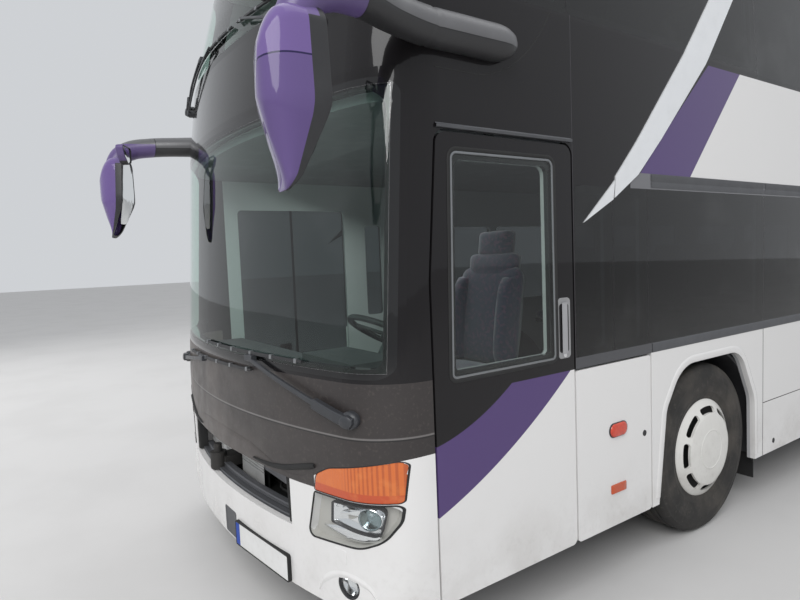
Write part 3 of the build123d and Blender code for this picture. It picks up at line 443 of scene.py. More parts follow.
def livery():
    """Paint of the sides: white skirt, black window bands, purple sweeps and the white waist band."""
    f = Finish("side_livery", WHITE, 0.22)
    aft, z = f.aft, f.z
    seam = z.under(0)
    for at in (0.645, 2.24, 3.95, 5.6, 8.66, 10.73):
        seam = seam.high((aft - at).size().under(0.0035) * z.between(0.3, BELT_Z))
    seam = seam.high((z - 0.687).size().under(0.003) * aft.over(0.645) * aft.under(6.1))
    dusted(f, 0.42)
    f.coat((0.02, 0.02, 0.02), seam)
    behind_door = aft.over(DOOR_REAR)
    on_door = aft.under(DOOR_REAR) * aft.over(DOOR_FRONT)
    along = aft + 2.103
    low_edge = along * 0.366 + along * along * 0.2815 + 0.70
    top_edge = (along * 0.197 + along * along * 0.613 + 0.99).low(BELT_Z)
    f.coat(PURPLE, (z - low_edge).over(0) * on_door)
    dark = ((z - top_edge).over(0) * on_door).high(z.over(BELT_Z) * behind_door)
    f.coat(BLACK, dark.high(z.over(0.98) * aft.under(-2.11)))
    f.coat(STRIP_GREY, z.between(BELT_Z, GLASS_LOW) * behind_door)
    waist = z.between(BAND_LOW, BAND_HIGH)
    stripe = (aft + 0.225) * 0.618 - (z - 2.142) * 0.543
    spear_low = (aft + 0.739) * 0.192 - (z - 2.12) * 0.207
    spear_high = (aft + 0.532) * 0.455 - (z - 2.312) * 0.453
    f.coat(PURPLE, waist * (spear_low.over(0) * spear_high.over(0)))
    f.coat(WHITE, waist * stripe.over(0))
    f.coat(RAIL_GREY, z.between(GLASS_HIGH, BAND_LOW) * aft.over(-0.8))
    inner = (f.x.size() + (z - WAIST_Z).high(0.0) * SIDE_LEAN).under(HALF_WIDTH - 0.03)
    f.coat((0.42, 0.42, 0.43), inner * aft.over(-2.05) * aft.under(TAIL - 0.03))
    return gloss(f)


def roof_finish():
    """White roof with the seams of two hatches and the joints of its panels."""
    f = Finish("roof_paint", WHITE, 0.3)
    seam = f.z.under(0)
    for at in (2.3, 8.4):
        reach = ((f.aft - at).size() - 0.36).high(f.x.size() - 0.42)
        seam = seam.high(reach.between(-0.006, 0.002))
    for at in (0.6, 4.6, 6.6, 10.4):
        seam = seam.high((f.aft - at).size().under(0.003))
    f.coat(DUST, f.noise(2.1, 5).ramp(0.45, 0.8) * 0.35)
    f.coat((0.05, 0.05, 0.05), seam)
    return gloss(f, 0.6, 0.1)


def apron():
    """Black front panel under road dust: brown-grey, pitted and flecked, paler towards the far side by a
    painted sheen, with a painted highlight above its crease and a painted shade line below.
    """
    f = Finish("apron_paint", (0.026, 0.022, 0.022), 0.32)
    # Dust patches that grow towards the far side (-X): the patches are dust, and their growth is a painted
    # sheen standing in for the glancing reflection there.
    dust_and_far_side_sheen = f.x.ramp(1.25, -0.9) * 0.72 + 0.08
    f.coat((0.150, 0.125, 0.110), f.noise(1.6, 5).ramp(0.2, 0.7) * dust_and_far_side_sheen)
    f.coat((0.22, 0.19, 0.165), f.noise(70, 4).ramp(0.52, 0.74) * 0.12)
    f.coat((0.035, 0.026, 0.022), f.cells(95).ramp(0.20, 0.08) * f.noise(9, 3).ramp(0.4, 0.6) * 0.6)
    f.coat((0.28, 0.19, 0.12), f.cells(70).ramp(0.12, 0.05) * f.noise(4, 3).ramp(0.5, 0.65) * 0.35)
    crease = f.z - f.x * f.x * 0.009 - 1.031
    # The crease is only painted: a painted highlight along its top and a painted shade line just below it.
    f.coat((0.20, 0.19, 0.185), crease.between(0.0, 0.007, 0.004) * 0.7)
    f.coat((0.012, 0.011, 0.011), crease.between(-0.006, -0.001, 0.002))
    f.fixed(Roughness=f.noise(12, 4) * 0.3 + 0.25)
    return f.relief(f.cells(60) * 0.3 + f.noise(500, 2) * 0.4, 0.15, 0.0008)


def glass(name, tint, shine=0.03, fringe=None):
    """Flat glass: what lies behind shows through a tint, reflections grow towards grazing angles on its
    outer face, and fringe(finish) is 1 where its edge is printed black."""
    f = Finish(name, (1.0, 1.0, 1.0), shine, 1.0, IOR=1.5, Specular_IOR_Level=0.5)
    f.relief(f.noise(1.6, 1), 0.02, 0.002)
    facing = add_node(f.tree, "Fresnel", IOR=1.5).outputs[0]
    inside = add_node(f.tree, "NewGeometry").outputs["Backfacing"]
    outward = add_node(f.tree, "VectorMath", operation="DOT_PRODUCT")
    feed(f.tree, outward.inputs[0], f.place)
    feed(f.tree, outward.inputs[1], f.normal)
    haze = Field(f.tree, facing) + f.noise(2.2, 4).ramp(0.5, 0.85) * 0.03
    haze = haze * Field(f.tree, inside).flip() * Field(f.tree, outward.outputs["Value"]).over(0)
    if fringe:
        printed = fringe(f)
        haze = haze.high(printed)
        f.fixed(Metallic=printed.flip()).coat(SEAM_BLACK, printed)
    clear = add_node(f.tree, "BsdfTransparent", Color=(*tint, 1))
    mix = add_node(f.tree, "MixShader")
    for socket, value in zip(mix.inputs, (haze, clear.outputs[0], f.shader.outputs[0])):
        feed(f.tree, socket, value)
    feed(f.tree, f.tree.nodes["Material Output"].inputs["Surface"], mix.outputs[0])
    return f


def screen_fringe(f):
    """Black print along the edges of both windscreens."""
    upright = f.z.under(1.302).high(f.z.between(2.405, 2.855)).high(f.z.over(3.52))
    return upright.high(f.x.size().over(1.213))


def plastic(name, colour, rough=0.55, grain=420, strength=0.25, dust=0.25):
    """Moulded plastic with a fine grain, paler where dust lies."""
    f = Finish(name, colour, rough)
    pale = tuple(min(1, c * 1.5 + 0.015) for c in colour)
    f.coat(pale, f.noise(7, 4).ramp(0.45, 0.8) * dust)
    f.fixed(Roughness=f.noise(30, 3) * 0.2 + (rough - 0.1))
    return f.relief(f.noise(grain, 2), strength, 0.0006)


def metal(name, colour, rough=0.3, wear=0.3, metallic=1.0):
    """Metal with fine brushed lines, stains and a little grime."""
    f = Finish(name, colour, rough, metallic)
    f.coat(tuple(c * 0.6 for c in colour), f.noise(9, 5).ramp(0.4, 0.8) * wear)
    f.coat(DUST, f.noise(22, 4).ramp(0.58, 0.85) * wear * 0.5)
    f.fixed(Roughness=f.noise(60, 3, (1, 0.1, 1)) * 0.25 + (rough - 0.1))
    return f.relief(f.noise(350, 2, (1, 0.15, 1)), 0.12, 0.0005)


def rubber(name):
    """Tyre rubber: near black, browner and paler with dust on the sidewall, finely rough."""
    f = Finish(name, (0.018, 0.017, 0.016), 0.72)
    f.coat((0.075, 0.066, 0.056), f.noise(6, 5).ramp(0.35, 0.75) * 0.75)
    f.coat((0.13, 0.115, 0.095), f.noise(45, 4).ramp(0.55, 0.8) * 0.35)
    f.fixed(Roughness=f.noise(20, 3) * 0.2 + 0.62)
    return f.relief(f.noise(600, 3) * 0.6 + f.noise(90, 3), 0.2, 0.0008)


def cloth(name, colour, second, weave=700):
    """Woven seat cover: a coarse pattern of flecks over a fine weave, soft at the edges."""
    f = Finish(name, colour, 0.9, Sheen_Weight=0.35, Sheen_Roughness=0.5)
    f.coat(second, f.noise(55, 2).ramp(0.52, 0.6) * 0.8)
    f.coat(tuple(c * 0.55 for c in colour), f.cells(26).ramp(0.3, 0.12) * 0.7)
    return f.relief(f.wave(weave, "X") * 0.5 + f.wave(weave, "Z") * 0.5 + f.noise(300, 2) * 0.4, 0.35,
                    0.0006)


def indicator_finish():
    """Ribbed amber lens, deeper towards its lower edge, with paler patches of painted highlight."""
    f = Finish("amber_lens_ribbed", (0.62, 0.135, 0.016), 0.2, Coat_Weight=0.7, Coat_Roughness=0.06)
    ribs = f.wave(20, "X")
    f.coat((0.40, 0.065, 0.006), ribs.ramp(0.35, 0.9) * f.x.size().over(1.06, 0.06) * 0.75)
    f.coat((0.50, 0.062, 0.007), (f.z - 0.826).under(0, 0.004))
    # Paler patches scattered by noise: painted highlights.
    f.coat((0.74, 0.24, 0.05), f.noise(14, 3).ramp(0.5, 0.75) * 0.35)
    return f.relief(ribs, 0.35, 0.0015)


def lens_finish(name, colour, deep, waves, speckle):
    """Coloured lens with ridges (waves, axis) or none, and speckles or stripes of a deeper tone."""
    f = Finish(name, colour, 0.2, Coat_Weight=0.8)
    if speckle:
        f.coat(deep, f.noise(speckle, 2).ramp(0.4, 0.7) * 0.6)
        return f.relief(f.wave(*waves[:2]), *waves[2:])
    return f.coat(deep, f.wave(*waves) * 0.5)


white_paint = paint_finish("white_paint", WHITE, 0.22, 0.42)
roof_paint = roof_finish()
side_paint = livery()
black_gloss = paint_finish("black_gloss", BLACK, 0.2, 0.15)
apron_paint = apron()
silver_trim = metal("silver_trim", (0.88, 0.89, 0.90), 0.34, 0.12, 0.55)
chrome = metal("chrome", (0.86, 0.87, 0.88), 0.10, 0.08)
dark_plastic = plastic("dark_plastic", (0.022, 0.022, 0.024), 0.5)
grey_plastic = plastic("grey_plastic", (0.07, 0.072, 0.078), 0.5)
rubber_seal = plastic("rubber_seal", (0.012, 0.012, 0.012), 0.65, 200, 0.15)
windscreen_glass = glass("windscreen_glass", (0.80, 0.885, 0.85), fringe=screen_fringe)
door_glass = glass("door_glass", (0.86, 0.90, 0.88))
tinted_glass = glass("tinted_glass", (0.24, 0.25, 0.26))
mirror_face = metal("mirror_glass", (0.86, 0.88, 0.88), 0.03, 0.03)
lens = glass("lamp_lens", (0.93, 0.94, 0.94), 0.05)
amber_lens = indicator_finish()
red_lens = lens_finish("red_lens", (0.42, 0.012, 0.008), (0.25, 0.006, 0.004), (30, "Z", 0.2, 0.002), 40)
chassis_black = metal("chassis_black", (0.035, 0.033, 0.031), 0.6, 0.6, 0.2)
cast_metal = metal("cast_metal", (0.22, 0.20, 0.18), 0.55, 0.6, 0.7)
tyre_rubber = rubber("tyre_rubber")
wheel_white = paint_finish("wheel_white", (0.70, 0.69, 0.66), 0.3, 0.5, 0.95, 0.5, 0.15)
rim_dark = plastic("rim_shadow", (0.02, 0.02, 0.02), 0.7)
floor_grey = plastic("floor_covering", (0.16, 0.16, 0.17), 0.7, 260, 0.3, 0.4)
dash_grey = plastic("dash_grey", (0.055, 0.057, 0.062), 0.6, 380, 0.35)
seat_cloth = cloth("seat_fabric", (0.022, 0.027, 0.055), (0.085, 0.035, 0.075))
plate_white = paint_finish("plate_white", (0.74, 0.74, 0.73), 0.3, 0.3, 0.9, 0.3)

WHEEL_NODES = [f"{axle}_%s_{hand}" for axle in AXLES for hand in ("left", "right")]
for finish, painted in (
    (side_paint, "side_wall_left side_wall_right rear_wall passenger_doors driver_door service_flap"
                 " luggage_flap_left luggage_flap_right engine_lid"),
    (white_paint, "front_bumper bumper_corners"), (black_gloss, "front_frame"), (roof_paint, "roof"),
    (apron_paint, "front_apron"), (silver_trim, "spear_trim"), (windscreen_glass, "windscreens"),
    (tinted_glass, "side_glass rear_glass"), (door_glass, "driver_window"), (lens, "headlamps"),
    (amber_lens, "indicators"), (red_lens, "tail_lamps"), (mirror_face, "mirror_glass"),
    (dark_plastic, "mirrors wipers front_grille arch_liners steering_wheel"), (rubber_seal, "mud_flaps"),
    (plate_white, "number_plates"), (dash_grey, "dashboard"), (seat_cloth, "driver_seat passenger_seats"),
    (cast_metal, "engine_block front_knuckle_left front_knuckle_right"),
    (chassis_black, "front_axle drive_axle tag_axle chassis_frame"),
    (floor_grey, "lower_floor upper_floor staircase"),
    (tyre_rubber, " ".join(WHEEL_NODES) % (("tyre",) * 6)),
    (wheel_white, " ".join(WHEEL_NODES) % (("rim",) * 6)),
):
    for node in painted.split():
        if not nodes[node].material_slots:
            nodes[node].data.materials.append(finish.data)
        for slot in nodes[node].material_slots:
            slot.material = finish.data


# Wheels

WHEEL_X, TWIN_X = 1.085, 0.75
SLOTS, SLOT_RING = 8, 0.238
SLOT_INNER, SLOT_OUTER = 0.2055, 0.2705
NUTS, NUT_RING, NUT_TURNS = 10, 0.182, 6
BEAD_X, CROWN = 0.112, 0.515
HALVINGS = 24
COVER = np.array([  # offset from the middle of the wheel, radius
    (0.1175, 0.289), (0.1215, 0.2955), (0.126, 0.2962), (0.1295, 0.294), (0.1325, 0.2895), (0.139, 0.279),
    (0.1435, 0.2705), (0.156, 0.249), (0.167, 0.229), (0.1705, 0.2235), (0.1735, 0.2205), (0.1758, 0.215),
    (0.1775, 0.2055), (0.1800, 0.186), (0.1828, 0.160), (0.1850, 0.135), (0.1856, 0.1215), (0.1876, 0.1190),
    (0.1882, 0.1155), (0.1876, 0.1120), (0.1862, 0.1095), (0.1880, 0.080), (0.1893, 0.040), (0.1897, 0.0),
])
TYRE_HALF = np.array([  # offset, radius of one sidewall from the bead to the tread
    (0.112, 0.286), (0.121, 0.2925), (0.127, 0.300), (0.1290, 0.3035), (0.1285, 0.3065), (0.135, 0.321),
    (0.1395, 0.338), (0.1412, 0.3405), (0.1408, 0.3435), (0.1450, 0.366), (0.1472, 0.390), (0.1474, 0.412),
    (0.1462, 0.432), (0.1468, 0.4345), (0.1464, 0.4375), (0.1440, 0.452), (0.1400, 0.468), (0.1345, 0.4835),
    (0.1350, 0.4862), (0.1338, 0.4885), (0.1285, 0.4985), (0.1200, 0.5065), (0.1120, 0.5105),
])
GROOVES = (0.0765, 0.0265)
DISC = np.array([  # rim barrel and dished disc behind the cover: offset, radius
    (-0.115, 0.2855), (-0.118, 0.294), (-0.112, 0.2965), (-0.108, 0.286), (-0.115, 0.274), (0.075, 0.274),
    (0.088, 0.25), (0.092, 0.18), (0.076, 0.14), (0.072, 0.10), (0.060, 0.09), (-0.03, 0.09),
    (-0.03, 0.041), (0.084, 0.041), (0.1, 0.06), (0.106, 0.10), (0.106, 0.16), (0.110, 0.24),
    (0.115, 0.274), (0.115, 0.2855),
])


def tyre_grid(middle, place):
    """Tyre turned from its section: ribbed sidewalls, round shoulders, four grooves and the bore."""
    crown = []
    for groove in GROOVES:
        lift = 0.0004 * (BEAD_X - groove) / BEAD_X
        crown += [(groove + 0.0062, 0.5145), (groove + 0.005, 0.5132), (groove + 0.0035, 0.5055),
                  (groove - 0.0035, 0.5055), (groove - 0.005, 0.5132 + lift),
                  (groove - 0.0062, 0.5145 + lift)]
    half = np.concatenate([TYRE_HALF, [(0.105, 0.5125), (0.094, 0.5140)], crown, [(0.0, CROWN)]])
    rows = np.concatenate([half, half[::-1][1:] * (-1, 1), half[:1]])
    return lathe(rows + (middle, 0), place, 120)


def plate_edges(half_u, half_v, sides):
    """Points round a rectangle about the middle, anticlockwise from its lower left corner back to it."""
    tu, tv = (np.linspace(-1, 1, count + 1)[:-1] for count in sides)
    edge = np.concatenate([np.stack([tu, tu * 0 - 1], 1), np.stack([tv * 0 + 1, tv], 1),
                           np.stack([-tu, tu * 0 + 1], 1), np.stack([tv * 0 - 1, -tv], 1)])
    return np.concatenate([edge, edge[:1]]) * (half_u, half_v)


def holed(u0, u1, v0, v1, hole, depth, place, sides, middle=None):
    """Plate with one rounded hole (half sizes and radius): from its edge to the hole's rim and down its
    wall. Each rim point is the farthest one along its ray that lies in the rounded rectangle, found by
    halving."""
    half_u, half_v, radius = hole
    edge = plate_edges((u1 - u0) / 2, (v1 - v0) / 2, sides)
    ray = plate_edges(half_u, half_v, sides)
    low, high = np.zeros(len(ray)), np.ones(len(ray))
    for _ in range(HALVINGS):
        t = (low + high) / 2
        reach = np.clip(np.abs(ray * t[:, None]) - (half_u - radius, half_v - radius), 0, None)
        inside = np.hypot(reach[:, 0], reach[:, 1]) <= radius
        low, high = np.where(inside, t, low), np.where(inside, high, t)
    centre = np.array([(u0 + u1) / 2, (v0 + v1) / 2])
    rim = (centre if middle is None else middle) + ray * low[:, None]
    edge = edge + centre
    rows = ((edge, 0.0), (edge * 0.35 + rim * 0.65, 0.0), (rim, 0.0), (rim, -0.3 * depth), (rim, -depth))
    return np.stack([place(r[:, 0], r[:, 1], out) for r, out in rows])


def cover_grids(place):
    """Slotted cover: a plate with a slot for each sector of the cone, a dome inside them and a flange
    outside."""
    pitch = 2 * pi / SLOTS
    half = pitch * SLOT_RING / 2
    grids = []
    for i in range(SLOTS):
        def put(u, radius, out, turn=pitch * i):
            angle = turn + u / SLOT_RING
            offset = np.interp(radius, COVER[::-1, 1], COVER[::-1, 0])
            return np.stack([WHEEL_X + offset + out, FRONT_AXLE_Y + place + radius * np.sin(angle),
                             HUB_Z + radius * np.cos(angle)], -1)
        grids.append(holed(-half, half, SLOT_INNER, SLOT_OUTER, (0.075, 0.019, 0.0165), 0.014, put, (16, 6),
                           np.array([0.0, SLOT_RING])))
    for rows in (COVER[COVER[:, 1] <= SLOT_INNER], COVER[COVER[:, 1] >= SLOT_OUTER]):
        grids.append(lathe(rows[::-1] + (WHEEL_X, 0), place, 16 * SLOTS, -pitch / 2))
    return grids


def nut_grids(place):
    """Ring of six-sided wheel nuts, each a collar and a nut with a chamfered end."""
    corner = np.linspace(0, 2 * pi, NUT_TURNS + 1)
    for angle in 2 * pi * np.arange(NUTS) / NUTS:
        centre = (0, FRONT_AXLE_Y + place + NUT_RING * sin(angle), HUB_Z + NUT_RING * cos(angle))
        for radius, x0, x1 in ((0.021, 0.895, 0.903), (0.0165, 0.903, 0.932)):
            hexagon = np.stack([corner * 0, radius * np.sin(corner), radius * np.cos(corner)], 1)
            yield np.stack([centre + hexagon * k + (x, 0, 0)
                            for x, k in ((x0, 1), (x1, 1), (x1, 0.6), (x1 + 0.001, 0))])


for axle, place in AXLES.items():
    middles = (WHEEL_X, TWIN_X) if axle == "drive" else (WHEEL_X,)
    for hand, turn in (("left", np.asarray), ("right", flip_hand)):
        body = f"{axle}_wheel_{hand}"
        build(f"{axle}_tyre_look_{hand}", [turn(tyre_grid(m, place)) for m in middles], tyre_rubber,
              body, f"{axle}_tyre_{hand}", True, 50)
        if axle == "drive":
            build(f"{axle}_nuts_{hand}", [turn(g) for g in nut_grids(place)], cast_metal,
                  body, closed=True)
            continue
        build(f"{axle}_cover_{hand}", [turn(g) for g in cover_grids(place)], wheel_white,
              body, f"{axle}_rim_{hand}", sharp=30)
        disc = lathe(np.concatenate([DISC, DISC[:1]]) + (WHEEL_X, 0), place, 64)
        build(f"{axle}_disc_{hand}", [turn(disc)], rim_dark, body, f"{axle}_rim_{hand}",
              True)


# Mirrors

HEAD_Z = (1.957, 2.06, 2.20, 2.34, 2.47, 2.50)
HEAD_BACK = (-2.775, -2.705, -2.665, -2.655, -2.66, -2.668)
HEAD_FRONT = (-2.80, -2.825, -2.862, -2.868, -2.855, -2.835)
HEAD_MIDDLE, HEAD_SET, HEAD_AFT, HEAD_TURN = 1.43, 1.385, -2.72, radians(30)
NECK_AFT, NECK_Z = -2.465, 2.607
head_outline = rounded([(1.375, 1.957, 0.055), (1.505, 1.957, 0.055), (1.553, 2.20, 0.25),
                        (1.524, 2.50, 0.075), (1.337, 2.50, 0.075), (1.300, 2.20, 0.25)], 8)
pane_outline = rounded([(1.385, 2.05, 0.04), (1.50, 2.05, 0.04), (1.538, 2.22, 0.2), (1.512, 2.475, 0.06),
                        (1.352, 2.475, 0.06), (1.318, 2.22, 0.2)], 8)
wide_outline = rounded([(1.285, 2.425, 0.03), (1.345, 2.450, 0.02), (1.345, 2.545, 0.02),
                        (1.180, 2.552, 0.02), (1.215, 2.480, 0.06)])
ARM = (  # x, aft, z along the arm's middle
    (1.300, -1.640, 2.600), (1.300, -1.70, 2.600), (1.301, -1.95, 2.601), (1.306, -2.115, 2.600),
    (1.352, -2.30, 2.597), (1.425, -2.49, 2.590), (1.452, -2.60, 2.572), (1.456, -2.68, 2.530),
    (1.452, -2.735, 2.44),
)
ARM_POINTS = 60


def head_place(x, z, out):
    """Mirror head: out runs from 0 at its rear face to 1 at the front, which is swept back towards the
    coach."""
    back = np.interp(z, HEAD_Z, HEAD_BACK)
    ahead = np.interp(z, HEAD_Z, HEAD_FRONT) + 0.42 * np.clip(1.50 - x, 0, None) ** 1.15
    return np.stack([x, FRONT_AXLE_Y + back + (ahead - back) * out, z], -1)


def wide_place(x, z, out):
    """Wide-angle mirror under the arm: out runs from 0 at its glass to 1 at its back."""
    return np.stack([x, FRONT_AXLE_Y - 2.60 - 0.045 * out + 0 * x, z], -1)


def right_head(grid):
    """The right head: the left one mirrored, then turned 30 degrees to face the driver."""
    grid = flip_hand(grid) - (-HEAD_MIDDLE, FRONT_AXLE_Y + HEAD_AFT, 0)
    x, y = grid[..., 0], grid[..., 1]
    turned = np.stack([x * cos(HEAD_TURN) + y * sin(HEAD_TURN), y * cos(HEAD_TURN) - x * sin(HEAD_TURN),
                       grid[..., 2]], -1)
    return turned + (-HEAD_SET, FRONT_AXLE_Y + HEAD_AFT, 0)


def arm_finish():
    """Grey arm, black underneath, with a purple neck at its head."""
    f = plastic("mirror_arm", (0.115, 0.115, 0.12), 0.35, 300, 0.1)
    f.coat((0.03, 0.03, 0.032), (f.z - 2.578).under(0, 0.004))
    f.coat(SEAM_BLACK, (f.z - 2.579).size().under(0.002))
    f.coat(SHELL_PURPLE, f.aft.under(NECK_AFT) * (f.z - NECK_Z).under(0))
    return f.coat(SEAM_BLACK, (f.aft - NECK_AFT).size().under(0.0025))


def shell_finish():
    """Purple shell, darker above the joint of its two halves."""
    f = Finish("mirror_shell", (0.150, 0.100, 0.270), 0.25)
    split = (f.x - 1.30) * 0.30 - (f.z - 2.262)
    f.coat(SHELL_PURPLE, split.over(0)).coat((0.02, 0.015, 0.06), split.size().under(0.0028))
    return gloss(dusted(f, 0.15))


dome = np.linspace(0, 1, 15)
shell = sheet_over(head_outline, (1 - dome ** 3.2) ** (1 / 2.6), 0.25 + 0.75 * dome, head_place)
rim = band(head_outline, (0.016, 0.016, 0.004, -0.001, -0.001, 0.0, 0.002),
           (0.05, -0.03, -0.045, -0.03, 0.20, 0.252, 0.26), head_place)
pane = sheet_over(pane_outline, (1, 0.97, 0.6, 0.3, 0), (-0.02, -0.035, -0.038, -0.038, -0.038), head_place)
wide_back = sheet_over(wide_outline, (1, 1, 0.97, 0.8, 0.4, 0), (-0.2, 0.5, 0.8, 0.95, 1, 1), wide_place)
wide_pane = sheet_over(wide_outline, (0.90, 0.6, 0.3, 0), (-0.1, -0.16, -0.18, -0.18), wide_place)
wide_rim = band(wide_outline, (0.007, 0.005, 0.0), (-0.12, -0.24, -0.2), wide_place)
arm_size = spread((0.008, 0.034, 0.056, 0.069, 0.0725, 0.071, 0.067, 0.067, 0.071, 0.066, 0.066, 0.056),
                  (0, 0.012, 0.035, 0.07, 0.10, 0.38, 0.385, 0.395, 0.40, 0.60, 0.85, 1), ARM_POINTS)
arm = tube(smooth(ARM, ARM_POINTS) + (0, FRONT_AXLE_Y, 0), arm_size, 28)
rim_look = plastic("mirror_rim", (0.022, 0.022, 0.024), 0.4, 420, 0.15)
rim_look.coat(SHELL_PURPLE, rim_look.z.over(2.452) * (rim_look.aft + 2.672).under(0))
for name, heads, finish, slot, over in (
    ("mirror_shells", [shell], shell_finish(), "purple_paint", "mirrors"),
    ("mirror_rims", [rim, wide_back, wide_rim], rim_look, "dark_plastic", "mirrors"),
    ("mirror_arms", None, arm_finish(), "dark_plastic", "mirrors"),
    ("mirror_faces", [pane[::-1], wide_pane[::-1]], mirror_face, "mirror_glass", "mirror_glass"),
):
    grids = heads + [right_head(g) for g in heads] if heads else both([arm])
    build(name, grids, finish, over=over, closed=heads is None)


# Front lamps

MODULE, FOG = (1.146, 0.716), (1.046, 0.426)
lamp_outline = fine(rounded([(0.817, 0.575, 0.03), (1.121, 0.599, 0.16), (1.200, 0.637, 0.10),
                             (1.24, 0.715, 0.10), (1.246, 0.7865, 0.02), (0.871, 0.782, 0.015)], 8))
indicator_outline = fine(rounded([(0.872, 0.7875, 0.010), (1.246, 0.7925, 0.015), (1.257, 0.9645, 0.020),
                                  (0.966, 0.901, 0.12), (0.886, 0.860, 0.05)], 8))
module_outline = fine(rounded([(0.952, 0.666, 0.010), (1.186, 0.645, 0.03), (1.213, 0.772, 0.03),
                               (0.960, 0.758, 0.010)], 5))
strip_x = np.linspace(0.892, 1.184, 18)
strip_low = 0.612 + (strip_x - 1.06) ** 2 * 0.9
strip_high = np.maximum(0.661 - (strip_x - 1.06) ** 2 * 0.95, strip_low + 0.002)
strip_outline = np.concatenate([np.stack([strip_x, strip_low], 1),
                                np.stack([strip_x, strip_high], 1)[::-1]])
LENS_COVER = ((1, 0.992, 0.97, 0.9, 0.75, 0.6, 0.45, 0.3, 0.15, 0),
              (-0.004, -0.0005, 0.0006, 0.0012, 0.0015, 0.0015, 0.0015, 0.0015, 0.0015, 0.0015))
SEAL_LIFTS = (-0.004, 0.0008, 0.0022, 0.0026, 0.0016, -0.003)
FACETS = (([(0.992, 0.712), (1.10, 0.722), (1.115, 0.748), (1.03, 0.728)], -0.036),
          ([(0.975, 0.735), (1.015, 0.737), (1.02, 0.757), (0.992, 0.756)], -0.034))
for name, grids, finish, slot in (
    ("headlamp_tubs", [sheet_over(lamp_outline, (0.995, 0.985, 0.96, 0.7, 0.4, 0),
                                  (-0.004, -0.02, -0.040, -0.044, -0.044, -0.044), nose)],
     plastic("lamp_inside", (0.50, 0.485, 0.45), 0.32, 300, 0.08, 0.1), "dark_plastic"),
    ("headlamp_modules", [band(module_outline, (0.0, 0.0, 0.001, 0.005, 0.006, 0.008),
                               (-0.046, -0.014, -0.012, -0.012, -0.014, -0.03), nose)],
     dark_plastic, "dark_plastic"),
    ("headlamp_reflectors", [
        sheet_over(module_outline, (0.97, 0.9, 0.7, 0.45, 0.2, 0),
                   (-0.016, -0.03, -0.040, -0.044, -0.046, -0.046), nose),
        sheet_over(strip_outline, (1, 0.97, 0.8, 0.4, 0), (-0.030, -0.024, -0.020, -0.019, -0.019), nose),
        *(sheet_over(fine(np.array(facet)), (1, 0.9, 0), (low, -0.022, -0.018), nose)
          for facet, low in FACETS),
        round_on(*MODULE, ((-0.044, 0.047), (-0.018, 0.046), (-0.016, 0.043), (-0.020, 0.040))),
        round_on(*FOG, ((-0.016, 0.045), (-0.034, 0.036), (-0.042, 0.018), (-0.042, 0)))],
     chrome, "silver"),
    ("headlamp_projectors", [round_on(*MODULE, ((-0.024, 0.040), (-0.012, 0.034), (-0.006, 0.022),
                                                (-0.004, 0.010), (-0.004, 0)))],
     glass("projector_glass", (0.55, 0.62, 0.63), 0.04), "lamp_lens"),
    ("headlamp_seals", [
        band(lamp_outline, (-0.0022, -0.0022, -0.001, 0.0032, 0.0042, 0.0042), SEAL_LIFTS, nose),
        band(indicator_outline, (-0.0015, -0.0015, 0.0, 0.0012, 0.002, 0.002), SEAL_LIFTS, nose)],
     rubber_seal, "dark_plastic"),
    ("headlamp_lenses", [sheet_over(lamp_outline, *LENS_COVER, nose),
                         round_on(*FOG, ((-0.014, 0.047), (-0.006, 0.044), (-0.003, 0.03), (-0.002, 0.015),
                                         (-0.002, 0)))], lens, "lamp_lens"),
    ("fog_housings", [round_on(*FOG, ((-0.03, 0.0555), (-0.003, 0.0555), (0.0, 0.0545), (0.0, 0.0505),
                                      (-0.004, 0.048), (-0.016, 0.0465)))], dark_plastic, "dark_plastic"),
    ("indicator_lenses", [sheet_over(indicator_outline, *LENS_COVER, nose)], amber_lens, "amber_lens"),
):
    build(name, both(grids), finish, over="indicators" if name == "indicator_lenses" else "headlamps")


# Front opening and bumper

GRILLE_AFT = -2.391
PLATE_FROM, PLATE_TO = -0.715, 0.155
GAP_FROM, GAP_TO = -0.335, -0.165
RIB_POINTS, RIB_DEPTH = 218, 0.0035
OPENING_LOW, OPENING_HIGH = 0.548, 0.94


def grille_place(x, z, out):
    """Points on the upright plate behind the opening."""
    x, z, out = np.broadcast_arrays(np.asarray(x, float), z, out)
    return np.stack([x, FRONT_AXLE_Y + GRILLE_AFT - out, z], -1)


def perforated(x0, x1, z0, z1, columns, rows, hole):
    """Grid of plate cells, each with one rounded hole."""
    xs, zs = np.linspace(x0, x1, columns + 1), np.linspace(z0, z1, rows + 1)
    return [holed(xs[i], xs[i + 1], zs[j], zs[j + 1], hole, 0.003, grille_place, (3, 2))
            for i in range(columns) for j in range(rows)]


grids = perforated(PLATE_FROM, PLATE_TO, 0.549, 0.5655, 27, 1, (0.009, 0.005, 0.002))
grids += perforated(GAP_TO, PLATE_TO, 0.632, 0.888, 20, 16, (0.0052, 0.0048, 0.0015))
grids += perforated(PLATE_FROM, GAP_FROM, 0.632, 0.888, 24, 16, (0.0052, 0.0048, 0.0015))
ribs_x = np.linspace(PLATE_FROM, PLATE_TO, RIB_POINTS)
ribs_out = np.where(np.arange(RIB_POINTS) % 4 < 2, 0.0, -RIB_DEPTH)
ribs_out[[0, -1]] = 0
for x0, x1 in ((PLATE_FROM, GAP_FROM), (GAP_TO, PLATE_TO)):
    use = (ribs_x >= x0 - 0.002) & (ribs_x <= x1 + 0.002)
    grids.append(np.stack([grille_place(ribs_x[use], z, ribs_out[use]) for z in (0.5655, 0.60, 0.632)]))
grids += [flat((GAP_FROM, GAP_TO), (0.757, 0.888), grille_place),
          flat((PLATE_FROM, PLATE_TO), (0.888, 0.935), grille_place)]
build("grille_plate", grids, metal("grille_plate", (0.62, 0.62, 0.61), 0.5, 0.45, 0.15),
      over="front_grille")
build("grille_label", [flat((-0.49, -0.43), (0.588, 0.648), grille_place, 0.001)],
      plastic("blank_label", (0.66, 0.66, 0.64), 0.5, 300, 0.05))

